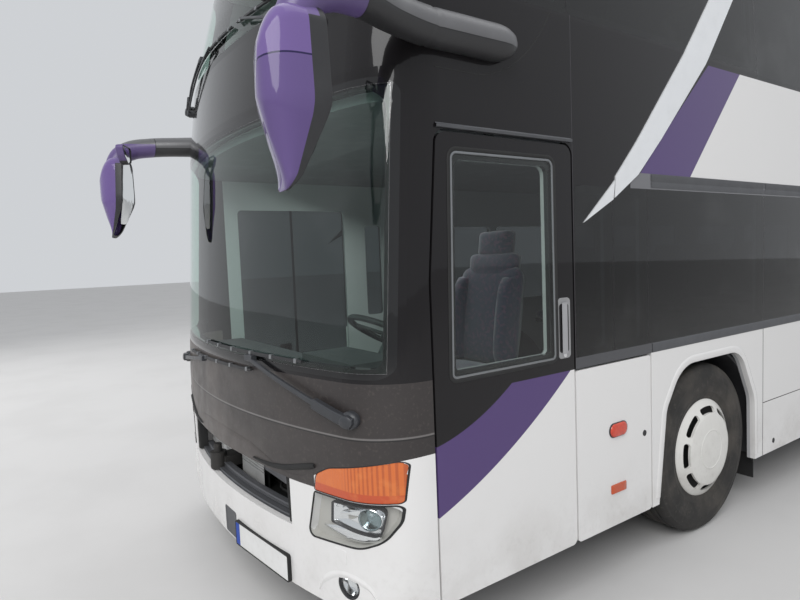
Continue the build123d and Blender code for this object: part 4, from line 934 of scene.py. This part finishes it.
floor_x = np.linspace(-0.71, 0.71, 41)
sill_y = nose(floor_x, 0.587, -0.03)[:, 1]
floor_rows = [(sill_y, OPENING_LOW), (sill_y * 0 + FRONT_AXLE_Y - 2.24, OPENING_LOW)]
sill_rows = [(sill_y, 0.5845), (sill_y, OPENING_LOW)]
# Near-black sheets behind the grille plate, over the opening's floor and along its sill: painted shade of
# the deep opening, seen through the holes and gaps.
cavity = [flat((PLATE_TO - 0.03, 0.705), (OPENING_LOW, OPENING_HIGH), grille_place, -0.15),
          flat((PLATE_FROM, PLATE_TO), (OPENING_LOW, OPENING_HIGH), grille_place, -0.03)]
cavity += [np.stack([np.stack([floor_x, y, z + 0 * floor_x], 1) for y, z in rows])
           for rows in (floor_rows, sill_rows)]
build("opening_back", cavity, plastic("cavity_painted_shade", (0.006, 0.006, 0.006), 0.8, 120, 0.2, 0.15))
hoses = []
for x0, z0, x1, z1 in ((0.19, 0.655, 0.42, 0.70), (0.18, 0.63, 0.52, 0.665), (0.17, 0.60, 0.50, 0.60)):
    bend = ((x0 + x1) / 2, FRONT_AXLE_Y - 2.37, (z0 + z1) / 2 + 0.012)
    path = smooth([(x0, FRONT_AXLE_Y - 2.26, z0), bend, (x1, FRONT_AXLE_Y - 2.34, z1)], 16)
    hoses.append(tube(path, 0.008, 10))
build("opening_hoses", hoses, rubber_seal, closed=True)

rails = []
for z, out, half in ((0.592, -0.034, 0.010), (0.616, -0.062, 0.013)):
    profile = [(-half, out - 0.03), (-half, out), (-half * 0.5, out + 0.004), (-half * 0.3, out - 0.002),
               (half * 0.3, out - 0.002), (half * 0.5, out + 0.004), (half, out), (half, out - 0.03)]
    rails.append(run_along(line((-0.69, z), (0.69, z)), profile, nose))
rails.append(run_along(line((0.655, 0.628), (0.715, 0.628), 0.01), box_profile(0.012, -0.05, -0.02), nose,
                       capped=True))
build("sill_rails", rails, grey_plastic, closed=True)
POST = [(-0.020, -0.06), (-0.018, -0.012), (-0.006, -0.004), (0.0, -0.010), (0.012, -0.004),
        (0.020, -0.012), (0.022, -0.06), (-0.020, -0.06)]
build("opening_posts", both([run_along(line((0.692, 0.592), (0.680, 0.80)), POST, nose, capped=True)]),
      rubber_seal, closed=True)
LIP = [(0.40, 0.826), (0.46, 0.823), (0.545, 0.824), (0.66, 0.838), (0.77, 0.864), (0.85, 0.884),
       (0.885, 0.893)]
half_round = [(0.014 * cos(t), 0.012 * sin(t) - 0.001) for t in np.linspace(-0.1 * pi, 1.1 * pi, 13)]
lip = run_along(smooth(LIP, 30), half_round + half_round[:1], nose,
                spread((0.15, 0.8, 1, 0.6), (0, 0.25, 0.95, 1), 30), True)
build("apron_lip", both([lip]), rubber_seal, closed=True)

SCOOP = [(0.872, 0.352), (0.893, 0.392), (0.935, 0.430), (0.99, 0.458), (1.055, 0.470), (1.105, 0.461),
         (1.145, 0.437), (1.165, 0.40)]
scoop = run_along(smooth(SCOOP, 40), [(-0.014, -0.0005), (-0.008, 0.0012), (0.0, 0.0042), (0.006, 0.0030),
                                      (0.016, -0.0005)],
                  nose, spread((0.2, 1, 1, 0.2), (0, 0.2, 0.8, 1), 40))
build("bumper_scoops", both([scoop]), white_paint)
build("towing_covers", [sheet_over(fine(box_outline(u, u + 0.071, 0.515, 0.572, 0.006, 4)),
                                   (1, 0.99, 0.97, 0.5, 0), (-0.001, 0.0006, 0.0014, 0.0014, 0.0014), nose)
                        for u in (0.974, -1.045)], white_paint)
build("bumper_insert", [sheet_over(fine(box_outline(-0.03, 0.128, 0.318, 0.460, 0.012, 4)),
                                   (1, 0.985, 0.96, 0.5, 0), (-0.001, 0.002, 0.0006, 0.0006, 0.0006),
                                   nose)], grey_plastic)


# Wipers

WIPERS = np.array([  # pivot, elbow, blade from, blade to
    ((1.100, 1.121), (0.431, 1.307), (-0.189, 1.331), (0.834, 1.328)),
    ((-1.100, 1.121), (-0.250, 1.230), (0.430, 1.250), (-0.620, 1.232)),
    ((1.000, 2.768), (0.500, 2.950), (0.180, 2.936), (1.130, 2.925)),
    ((-1.000, 2.768), (-0.500, 2.950), (0.100, 2.940), (-0.860, 2.955)),
])
LINKS = [((0.880, 2.728), (0.250, 2.930)), ((-0.880, 2.728), (-0.250, 2.945))]
HUB = ((0.0, 0.036), (0.020, 0.036), (0.026, 0.033), (0.030, 0.026), (0.046, 0.024), (0.050, 0.018),
       (0.052, 0.0))
LINK_HUB = ((0.0, 0.020), (0.036, 0.020), (0.040, 0.014), (0.040, 0))
RUBBER_EDGE = [(-0.003, 0.012), (-0.001, 0.0025), (0.001, 0.0025), (0.003, 0.012), (-0.003, 0.012)]
CLIP_SHARES = (0.04, 0.22, 0.40, 0.60, 0.78, 0.96)


def stick(path, profile, size=1.0):
    """Closed bar on the nose along a path."""
    return run_along(path, profile, nose, size, True)


arms, blades, rubbers, clips = [], [], [], []
for pivot, elbow, tip, end in WIPERS:
    reach, blade = elbow - pivot, end - tip
    root = pivot + reach * 0.26
    path = line(root - reach * 0.05, elbow)
    arms += [round_on(*pivot, HUB),
             stick(line(pivot - reach * 0.03, root), box_profile(0.021, 0.018, 0.045, 0.004)),
             stick(path, box_profile(0.011, 0.024, 0.036, 0.002), np.linspace(1.1, 0.75, len(path))),
             stick(line(elbow - blade * 0.035, elbow + blade * 0.035),
                   box_profile(0.014, 0.008, 0.036, 0.003))]
    path = line(tip, end, 0.04)
    thin = spread((0.55, 0.8, 1, 0.8, 0.55), (0, 0.1, 0.5, 0.9, 1), len(path))
    blades.append(stick(path, box_profile(0.0085, 0.012, 0.0215, 0.002), thin))
    rubbers.append(stick(path, RUBBER_EDGE))
    for share in CLIP_SHARES:
        middle, step = tip + blade * share, blade * 0.009
        clips.append(stick(line(middle - step, middle + step, 0.006),
                           box_profile(0.010, 0.006, 0.0225, 0.002)))
for a, b in LINKS:
    arms += [stick(line(a, b), box_profile(0.006, 0.024, 0.034, 0.002)), round_on(*a, LINK_HUB)]
for name, grids, finish in (
    ("wiper_arms", arms, plastic("wiper_arm", (0.035, 0.037, 0.042), 0.38, 300, 0.12, 0.5)),
    ("wiper_frames", blades, dark_plastic), ("wiper_rubbers", rubbers, rubber_seal),
    ("wiper_clips", clips, metal("clip_metal", (0.35, 0.36, 0.37), 0.4, 0.4)),
):
    build(name, grids, finish, over="wipers", closed=True)


# Number plates

PLATE_X, FRONT_PLATE_Z, REAR_PLATE_Z = 0.413, 0.373, 0.430


def front_plate_place(u, v, out):
    """Flat plate touching the nose at its middle: u runs along the tangent there."""
    u, v, out = np.broadcast_arrays(np.asarray(u, float), v, out)
    turn = asin(PLATE_X / NOSE_RADIUS)
    along, ahead = np.array([cos(turn), sin(turn), 0]), np.array([sin(turn), -cos(turn), 0])
    return (nose(PLATE_X, FRONT_PLATE_Z) + u[..., None] * along + out[..., None] * ahead
            + v[..., None] * np.array([0.0, 0.0, 1.0]))


def rear_plate_place(u, v, out):
    """Upright plate on the flat tail, seen from behind."""
    u, v, out = np.broadcast_arrays(np.asarray(u, float), v, out)
    return np.stack([-u, FRONT_AXLE_Y + TAIL - 0.0016 + out, REAR_PLATE_Z + v], -1)


PLACES = (front_plate_place, rear_plate_place)
plate_outline = box_outline(-0.26, 0.26, -0.06, 0.06, 0.008, 4)
blue_outline = box_outline(-0.2555, -0.215, -0.0555, 0.0555, 0.003, 3)
build("plate_frames", [band(plate_outline, (-0.004, -0.004, -0.002, 0.002, 0.004, 0.004),
                            (-0.0075, 0.0082, 0.0095, 0.0095, 0.0088, 0.0070), p) for p in PLACES],
      rubber_seal, over="number_plates")
build("plate_faces", [sheet_over(plate_outline, (1, 0), (0.0083, 0.0083), p) for p in PLACES], plate_white,
      over="number_plates")
build("plate_bands", [sheet_over(blue_outline, (1, 0), (0.0087, 0.0087), p) for p in PLACES],
      paint_finish("plate_blue", (0.012, 0.06, 0.36), 0.35, 0.2, 0.9, 0.2))


# Seats

SEAT_X = (0.485, 0.935)
BACK_LEAN, DRIVER_LEAN = pi / 2 - 0.17, pi / 2 - 0.15
DRIVER_X, DRIVER_AFT = 0.64, -1.45
SEAT_ROWS = [  # floor height, first row aft, rows, pitch, hands
    (0.70, 4.05, 2, 0.83, (1,)), (0.70, 1.10, 4, 0.83, (-1,)), (2.39, -0.70, 3, 0.85, (1, -1)),
    (2.39, 4.10, 8, 0.83, (1, -1)), (2.39, 1.85, 2, 0.85, (-1,)),
]
SEAT_PARTS = (  # aft, height over the floor, half sizes, lean: cushion, back, head rest
    (0.22, 0.395, (0.215, 0.22, 0.062), -0.03), (0.50, 0.72, (0.212, 0.29, 0.060), BACK_LEAN),
    (0.545, 0.985, (0.135, 0.085, 0.05), BACK_LEAN),
)
SEAT_BOXES = ((0.45, 0.97, 0.18, 0.33, 0.0, 0.34), (0.27, 1.15, 0.05, 0.44, 0.325, 0.36))
DRIVER_PARTS = (  # middle, half sizes, lean, roundness in plan: cushion, back, bolsters, two head rests
    ((DRIVER_X, -1.455, 1.09), (0.238, 0.222, 0.068), 0.0, 0.35),
    ((DRIVER_X, -1.205, 1.40), (0.238, 0.28, 0.062), DRIVER_LEAN, 0.25),
    ((0.46, -1.235, 1.38), (0.045, 0.25, 0.085), DRIVER_LEAN, 0.35),
    ((0.82, -1.235, 1.38), (0.045, 0.25, 0.085), DRIVER_LEAN, 0.35),
    ((DRIVER_X, -1.155, 1.66), (0.19, 0.09, 0.055), DRIVER_LEAN, 0.3),
    ((DRIVER_X, -1.13, 1.80), (0.13, 0.075, 0.05), DRIVER_LEAN, 0.35),
)


def pad(middle, half, lean, round_plan=0.35, round_side=0.6):
    """Crowned cushion: cos and sin to the given powers round off a box, the sides are pulled in between
    the corners, and lean tips it back about the X axis."""
    def soft(value, power):
        return np.sign(value) * np.abs(value) ** power
    up, turn = np.linspace(-pi / 2, pi / 2, 9)[:, None], np.linspace(0, 2 * pi, 21)[None, :]
    edge, height = soft(np.cos(up), round_side), soft(np.sin(up), round_side)
    x, y = edge * soft(np.cos(turn), round_plan), edge * soft(np.sin(turn), round_plan)
    x, y = (x * (1 - 0.05 * (1 - np.abs(y)) * np.abs(x) ** 2),
            y * (1 - 0.05 * (1 - np.abs(x)) * np.abs(y) ** 2))
    z = height * (1 - 0.22 * (x * x + y * y) / 2)
    x, y, z = x * half[0], y * half[1], z * half[2]
    turned = np.stack([x, y * cos(lean) - z * sin(lean), y * sin(lean) + z * cos(lean)], -1)
    return turned + np.asarray(middle) + (0, FRONT_AXLE_Y, 0)


def block(xs, ys, zs):
    """Closed box between two x, two y and two z: its foot, its walls and its top."""
    around = [(xs[0], ys[0]), (xs[1], ys[0]), (xs[1], ys[1]), (xs[0], ys[1]), (xs[0], ys[0])]
    foot, top = ([[(xs.mean(), ys.mean(), z)] * len(around)] for z in zs)
    return np.array(foot + [[(*c, z) for c in around] for z in zs] + top)


pads, legs = [], []
for floor, first, rows, pitch, hands in SEAT_ROWS:
    for hand in hands:
        for aft in first + pitch * np.arange(rows):
            for x in SEAT_X:
                pads += [pad((x * hand, aft + back, floor + up), half, lean)
                         for back, up, half, lean in SEAT_PARTS]
            for x0, x1, y0, y1, z0, z1 in SEAT_BOXES:
                legs.append(block(hand * np.array([x0, x1]), FRONT_AXLE_Y + aft + np.array([y0, y1]),
                                  floor + np.array([z0, z1])))
seats = build("seat_pads", pads, seat_cloth, over="passenger_seats", closed=True, sharp=60)
build("seat_legs", legs, dark_plastic, over="passenger_seats", closed=True, sharp=20)
driver = build("driver_pads", [pad(*part) for part in DRIVER_PARTS], seat_cloth,
               over="driver_seat", closed=True, sharp=60)
bellows = [(0.70, 0.0), (0.70, 0.15), (0.72, 0.15)]
for k in range(5):
    bellows += [(0.745 + 0.055 * k, 0.125), (0.77 + 0.055 * k, 0.145)]
bellows += [(1.03, 0.15), (1.035, 0.0)]
turn = np.linspace(0, 2 * pi, 33)
seat_base = np.stack([np.stack([DRIVER_X + r * np.cos(turn), FRONT_AXLE_Y + DRIVER_AFT + r * np.sin(turn),
                                turn * 0 + z], 1) for z, r in bellows])
build("driver_seat_base", [seat_base], rubber_seal, over="driver_seat", closed=True)


# Sides

RAIL_Z, STRIP_Z, REAR_END = 2.092, 1.209, TAIL - 0.21
ARCH_LIP = [(-0.002, -0.016), (-0.001, 0.002), (0.004, 0.0038), (0.026, 0.0040), (0.034, 0.0030),
            (0.040, 0.0008), (0.042, -0.001)]
RAIL = [(-0.036, -0.001), (-0.034, 0.002), (-0.012, 0.0035), (-0.006, 0.0015), (0.0, 0.0015),
        (0.004, 0.0035), (0.036, 0.0035), (0.038, -0.001)]
STRIP = [(-0.025, -0.001), (-0.024, 0.0022), (0.022, 0.0022), (0.0245, 0.0008), (0.0255, -0.001)]
DRIP = [(-0.009, -0.001), (-0.008, 0.010), (0.002, 0.012), (0.006, 0.004), (0.010, 0.002), (0.011, -0.001)]
GRIP = [(-0.016, 0.004), (-0.014, 0.010), (0.0, 0.0115), (0.014, 0.010), (0.016, 0.004), (-0.016, 0.004)]
SEAM = [(-0.003, -0.0006), (-0.0026, 0.0006), (0.0026, 0.0006), (0.003, -0.0006)]
SEAM_PATH = [(-2.048, 2.472), (-1.922, 2.472), (-1.798, 2.475), (-1.672, 2.515), (-1.549, 2.596),
             (-1.451, 2.701), (-1.386, 2.799)]
HANDLE_AFT = -1.331


def arch_edge(place):
    """Edge of a wheel opening in side view, from its front foot over the wheel to its rear foot."""
    corners = [(place - 0.575, 0.27, 0), (place - 0.490, 0.850, 0.160), (place - 0.330, 1.076, 0.250),
               (place + 0.345, 1.076, 0.200), (place + 0.530, 0.740, 0.200), (place + 0.540, 0.27, 0)]
    points = rounded([(place, -0.5, 0), *corners], 10)[1:]
    runs = [line(a, b, 0.05)[:-1] for a, b in zip(points[:-1], points[1:]) if np.linalg.norm(b - a) > 1e-4]
    points = np.concatenate(runs + [points[-1:]])
    return points[points[:, 1] > 0.335]


def level(z, start, end, profile, step):
    """Level moulding on the left side."""
    return run_along(line((start, z), (end, z), step), profile, side)


build("arch_lips", both([run_along(arch_edge(a), ARCH_LIP, side) for a in AXLES.values()]), white_paint)
build("glazing_rails", both([level(RAIL_Z, a, b, RAIL, 0.4) for a, b in ((0.66, REAR_END), (-0.62, 0.64))]),
      grey_plastic)
strips = [level(STRIP_Z, a, b, STRIP, 0.3) for a, b in ((-0.62, 7.24), (7.25, REAR_END))]
strips += [flip_hand(level(STRIP_Z, a, b, STRIP, 0.3)) for a, b in ((-0.90, 4.33), (5.67, REAR_END))]
build("belt_strips", strips, grey_plastic)

window_outline = fine(rounded([(-2.025, 1.236, 0.035), (-1.377, 1.236, 0.035), (-1.377, 2.170, 0.045),
                               (-2.000, 2.170, 0.045)], 8))
for name, grid, finish, slot in (
    ("door_window_seal", band(window_outline, (-0.006, -0.006, -0.003, 0.006, 0.010, 0.012),
                              (-0.004, 0.0016, 0.0035, 0.0035, 0.0015, -0.002), side),
     rubber_seal, "dark_plastic"),
    ("door_window_trim", band(window_outline, (0.012, 0.012, 0.016, 0.021, 0.022),
                              (-0.002, 0.0010, 0.0022, 0.0010, -0.002), side),
     metal("window_trim", (0.30, 0.31, 0.32), 0.4, 0.3), "silver"),
    ("door_handle_plate", sheet_over(fine(box_outline(-1.372, -1.290, 1.245, 1.530, 0.018, 5)),
                                     (1, 0.985, 0.95, 0.8, 0.5, 0),
                                     (-0.001, 0.0035, 0.0035, 0.0, -0.001, -0.001), side),
     plastic("handle_plate", (0.27, 0.27, 0.275), 0.4, 300, 0.1), "silver"),
    ("door_handle", run_along(line((HANDLE_AFT, 1.268), (HANDLE_AFT, 1.508), 0.02), GRIP, side, capped=True),
     plastic("handle_grip", (0.33, 0.33, 0.34), 0.35, 300, 0.1), "silver"),
    ("door_lock", round_on(HANDLE_AFT, 1.262, ((0.0, 0.011), (0.006, 0.011), (0.0065, 0.0)), side),
     chrome, "silver"),
):
    build(name, [grid], finish, "driver_door", closed=name == "door_handle")
build("door_drip_rail", [level(2.252, -2.06, -1.26, DRIP, 0.05)], grey_plastic)
build("pillar_seams", both([run_along(smooth(SEAM_PATH, 40), SEAM, side)]), rubber_seal)


# Lamps and locks of the skirt

def lock(aft, z, radius):
    """Flush round lock with a sunk middle."""
    rows = ((0.0, radius), (0.0018, radius), (0.002, 0.012), (0.0008, 0.011), (0.0008, 0.0))
    return round_on(aft, z, rows, side)


oval = box_outline(-1.005, -0.855, 0.790, 0.865, 0.0365, 10)
side_orange = lens_finish("side_lamp", (0.60, 0.045, 0.012), (0.42, 0.02, 0.006), (30, "Y", 0.3, 0.001), 60)
for name, grid, finish, slot in (
    ("flap_lamp", sheet_over(oval, (0.93, 0.91, 0.86, 0.75, 0.5, 0.25, 0),
                             (0.0, 0.006, 0.010, 0.0125, 0.0135, 0.014, 0.014), side),
     side_orange, "red_lens"),
    ("flap_lamp_base", band(oval, (0.0, 0.0, 0.002, 0.005, 0.006), (-0.001, 0.003, 0.005, 0.005, 0.0), side),
     dark_plastic, "dark_plastic"),
    ("flap_reflector", sheet_over(box_outline(-0.995, -0.869, 0.500, 0.546, 0.006, 5),
                                  (1, 0.985, 0.94, 0.5, 0), (-0.001, 0.004, 0.006, 0.006, 0.006), side),
     amber_lens, "amber_lens"),
    ("flap_lock", lock(-0.70, 0.76, 0.016), dark_plastic, "dark_plastic"),
):
    build(name, [grid], finish, "service_flap")
markers = [sheet_over(box_outline(at - 0.055, at + 0.055, 0.500, 0.540, 0.008, 5), (1, 0.985, 0.93, 0.5, 0),
                      (-0.001, 0.006, 0.009, 0.010, 0.010), side) for at in (2.7, 4.9, 7.37, 10.9)]
build("side_markers", both(markers), amber_lens)
build("skirt_locks", both([lock(at, 0.40, 0.017) for at in (0.80, 2.10, 2.38, 3.80, 4.10, 5.45)]),
      dark_plastic)
for hand, turn in (("left", np.asarray), ("right", flip_hand)):
    handles = [turn(sheet_over(box_outline(at - 0.07, at + 0.07, 0.46, 0.50, 0.018, 5),
                               (1, 0.98, 0.9, 0.6, 0), (-0.001, 0.003, 0.004, 0.001, 0.0005), side))
               for at in (9.0, 10.4)]
    build(f"luggage_handles_{hand}", handles, dark_plastic, body=f"luggage_flap_{hand}")


# Lower edge of the apron

across = np.linspace(-0.875, 0.875, 101)
low_edge = np.interp(np.abs(across), (0.0, 0.27, 0.45, 0.60, 0.70, 0.78, 0.872),
                     (0.801, 0.806, 0.805, 0.800, 0.796, 0.797, 0.7995))
top_edge = np.interp(np.abs(across), (0, 0.25, 0.38, 0.48, 0.55, 0.65, 0.704, 0.80, 0.875),
                     (0.905, 0.900, 0.890, 0.868, 0.850, 0.826, 0.822, 0.832, 0.862))
skirt = [nose(across, z, out) for z, out in (
    (low_edge, -0.012), (low_edge, 0.0005), (low_edge + 0.003, 0.0014),
    ((low_edge * 2 + top_edge) / 3, 0.0016), ((low_edge + top_edge * 2) / 3, 0.0016),
    (top_edge - 0.003, 0.0014), (top_edge, 0.0002))]
build("apron_skirt", [np.stack(skirt)], apron_paint)


# Passenger doors and tail

PULL_SHARES, PULL_LIFTS = (1, 0.98, 0.9, 0.5, 0), (-0.001, 0.004, 0.005, 0.001, 0.001)
SPLIT = [(-0.010, -0.001), (-0.009, 0.0025), (-0.002, 0.003), (0.0, 0.0005), (0.002, 0.003),
         (0.009, 0.0025), (0.010, -0.001)]
LOUVRE = [(-0.016, -0.0005), (-0.015, 0.0066), (-0.011, 0.0075), (0.012, 0.0015), (0.016, -0.0005)]
seals, splits, pulls = [], [], []
for front, rear, low, high in ((-2.05, -0.95, 0.33, 2.24), (4.35, 5.65, 0.33, 2.10)):
    glass_edge = box_outline(-(rear - 0.06), -(front + 0.06), low + 0.26, high - 0.06, 0.06)
    frame_edge = box_outline(-(rear - 0.004), -(front + 0.004), low + 0.004, high - 0.004, 0.03)
    seals += [band(fine(glass_edge), (-0.005, -0.005, -0.003, 0.005, 0.008, 0.010),
                   (-0.003, 0.0014, 0.003, 0.003, 0.0014, -0.002), right_side),
              band(fine(frame_edge), (-0.004, -0.004, 0.002, 0.006, 0.008),
                   (-0.004, 0.001, 0.0022, 0.001, -0.003), right_side)]
    middle = -(front + rear) / 2
    splits.append(run_along(line((middle, low + 0.01), (middle, high - 0.01), 0.1), SPLIT, right_side))
    pulls.append(sheet_over(box_outline(middle + 0.05, middle + 0.15, 1.02, 1.10, 0.02, 5), PULL_SHARES,
                            PULL_LIFTS, right_side))
build("passenger_door_seals", seals, rubber_seal)
build("passenger_door_splits", splits, rubber_seal)
build("passenger_door_handles", pulls, dark_plastic)

tail_amber = lens_finish("amber_tail", (0.62, 0.16, 0.015), (0.42, 0.08, 0.006), (24, "Z"), None)
pale_lens = lens_finish("reversing_lens", (0.62, 0.62, 0.60), (0.42, 0.42, 0.42), (24, "Z"), None)
for name, low, high, finish, slot in (("brake_lenses", 1.262, 1.694, red_lens, "red_lens"),
                                      ("turn_lenses", 1.046, 1.252, tail_amber, "amber_lens"),
                                      ("reversing_lenses", 0.826, 1.036, pale_lens, "lamp_lens")):
    cover = sheet_over(fine(box_outline(-1.211, -1.094, low, high, 0.03, 5)), (1, 0.985, 0.95, 0.8, 0.4, 0),
                       (-0.004, 0.001, 0.003, 0.004, 0.004, 0.004), tail)
    build(name, both([cover]), finish, over="tail_lamps")
lamp_back = sheet_over(fine(box_outline(-1.215, -1.09, 0.820, 1.700, 0.04)), (1.0, 0.98, 0.5, 0),
                       (-0.003, -0.001, -0.001, -0.001), tail)
build("tail_lamp_backs", both([lamp_back]), dark_plastic, over="tail_lamps")
louvres = [run_along(line((-0.86, z), (0.86, z), 0.4), LOUVRE, tail)
           for low, high, count in ((0.56, 0.98, 11), (1.36, 1.60, 7))
           for z in np.linspace(low, high, count)]
build("lid_louvres", louvres, dark_plastic, body="engine_lid")
build("lid_lock", [sheet_over(box_outline(-0.09, 0.09, 0.500, 0.535, 0.012, 5), PULL_SHARES, PULL_LIFTS,
                              tail)], dark_plastic, body="engine_lid")
build("rear_window_seal", [band(fine(box_outline(-0.98, 0.98, 2.83, 3.56, 0.08, 8)),
                                (-0.008, -0.008, -0.004, 0.006, 0.012, 0.014),
                                (-0.002, 0.002, 0.0045, 0.0045, 0.002, -0.001), tail)], rubber_seal)
red_outlines = [box_outline(-0.18, 0.18, 2.70, 2.735, 0.015, 5)]
red_outlines += [box_outline(u - 0.06, u + 0.06, 0.375, 0.415, 0.006, 4) for u in (-0.88, 0.88)]
build("rear_red_lamps", [sheet_over(e, (1, 0.985, 0.94, 0.5, 0),
                                    (-0.001, 0.004, 0.0065, 0.0075, 0.0075), tail)
                         for e in red_outlines], red_lens)


# Camera, light and floor

FLOOR_HALF = 60
LIGHTS = (  # name, place, target, width, watts, whether it shows in reflections
    ("key", (7.5, -13.0, 9.0), (0.8, -4.5, 1.5), 7.0, 900, True),
    ("fill", (-9.0, -11.0, 7.0), (0.0, -5.0, 1.5), 8.0, 420, False),
    ("top", (0.0, 0.0, 14.0), (0.0, 0.0, 2.0), 14.0, 500, True),
    ("cab", (-0.2, -5.7, 2.25), (-0.2, -6.1, 1.0), 1.3, 17, False),
)


def studio():
    """Pale floor and soft light from above and from the camera's side."""
    mesh = bpy.data.meshes.new("floor")
    corners = [(x * FLOOR_HALF, y * FLOOR_HALF, 0) for x, y in ((-1, -1), (1, -1), (1, 1), (-1, 1))]
    mesh.from_pydata(corners, [], [(0, 1, 2, 3)])
    floor = bpy.data.objects.new("floor", mesh)
    bpy.context.scene.collection.objects.link(floor)
    ground = Finish("floor", (0.62, 0.61, 0.60), 0.8)
    ground.coat((0.55, 0.54, 0.53), ground.noise(0.9, 4).ramp(0.4, 0.7) * 0.4)
    ground.relief(ground.noise(60, 3), 0.1, 0.002)
    mesh.materials.append(ground.data)
    world = bpy.data.worlds.new("studio")
    bpy.context.scene.world = world
    world.use_nodes = True
    sky = world.node_tree.nodes["Background"]
    sky.inputs["Color"].default_value = (0.86, 0.885, 0.92, 1)
    sky.inputs["Strength"].default_value = 0.72
    for name, at, target, width, power, glossy in LIGHTS:
        light = bpy.data.lights.new(name, "AREA")
        light.size, light.energy = width, power
        lamp = bpy.data.objects.new(name, light)
        bpy.context.scene.collection.objects.link(lamp)
        lamp.location = at
        lamp.visible_glossy = glossy
        aim = Vector(target) - Vector(at)
        lamp.rotation_euler = Vector((0, 0, -1)).rotation_difference(aim).to_euler()


def camera(place, yaw, pitch, roll, focal):
    """Camera at the photograph's angle."""
    back = np.array([sin(yaw) * cos(pitch), -cos(yaw) * cos(pitch), sin(pitch)])
    right = np.array([cos(yaw), sin(yaw), 0.0])
    up = np.cross(back, right)
    right, up = cos(roll) * right + sin(roll) * up, cos(roll) * up - sin(roll) * right
    data = bpy.data.cameras.new("camera")
    data.lens, data.sensor_width = focal, 36.0
    data.clip_start, data.clip_end = 0.05, 300
    eye = bpy.data.objects.new("camera", data)
    bpy.context.scene.collection.objects.link(eye)
    matrix = np.eye(4)
    matrix[:3, :4] = np.stack([right, up, back, place], 1)
    eye.matrix_world = Matrix(matrix.tolist())
    bpy.context.scene.camera = eye


studio()
camera((3.0942, -7.7682, 1.7488), 0.962, 0.0725, -0.0401, 26.73)
bpy.context.scene.view_settings.view_transform = "Standard"
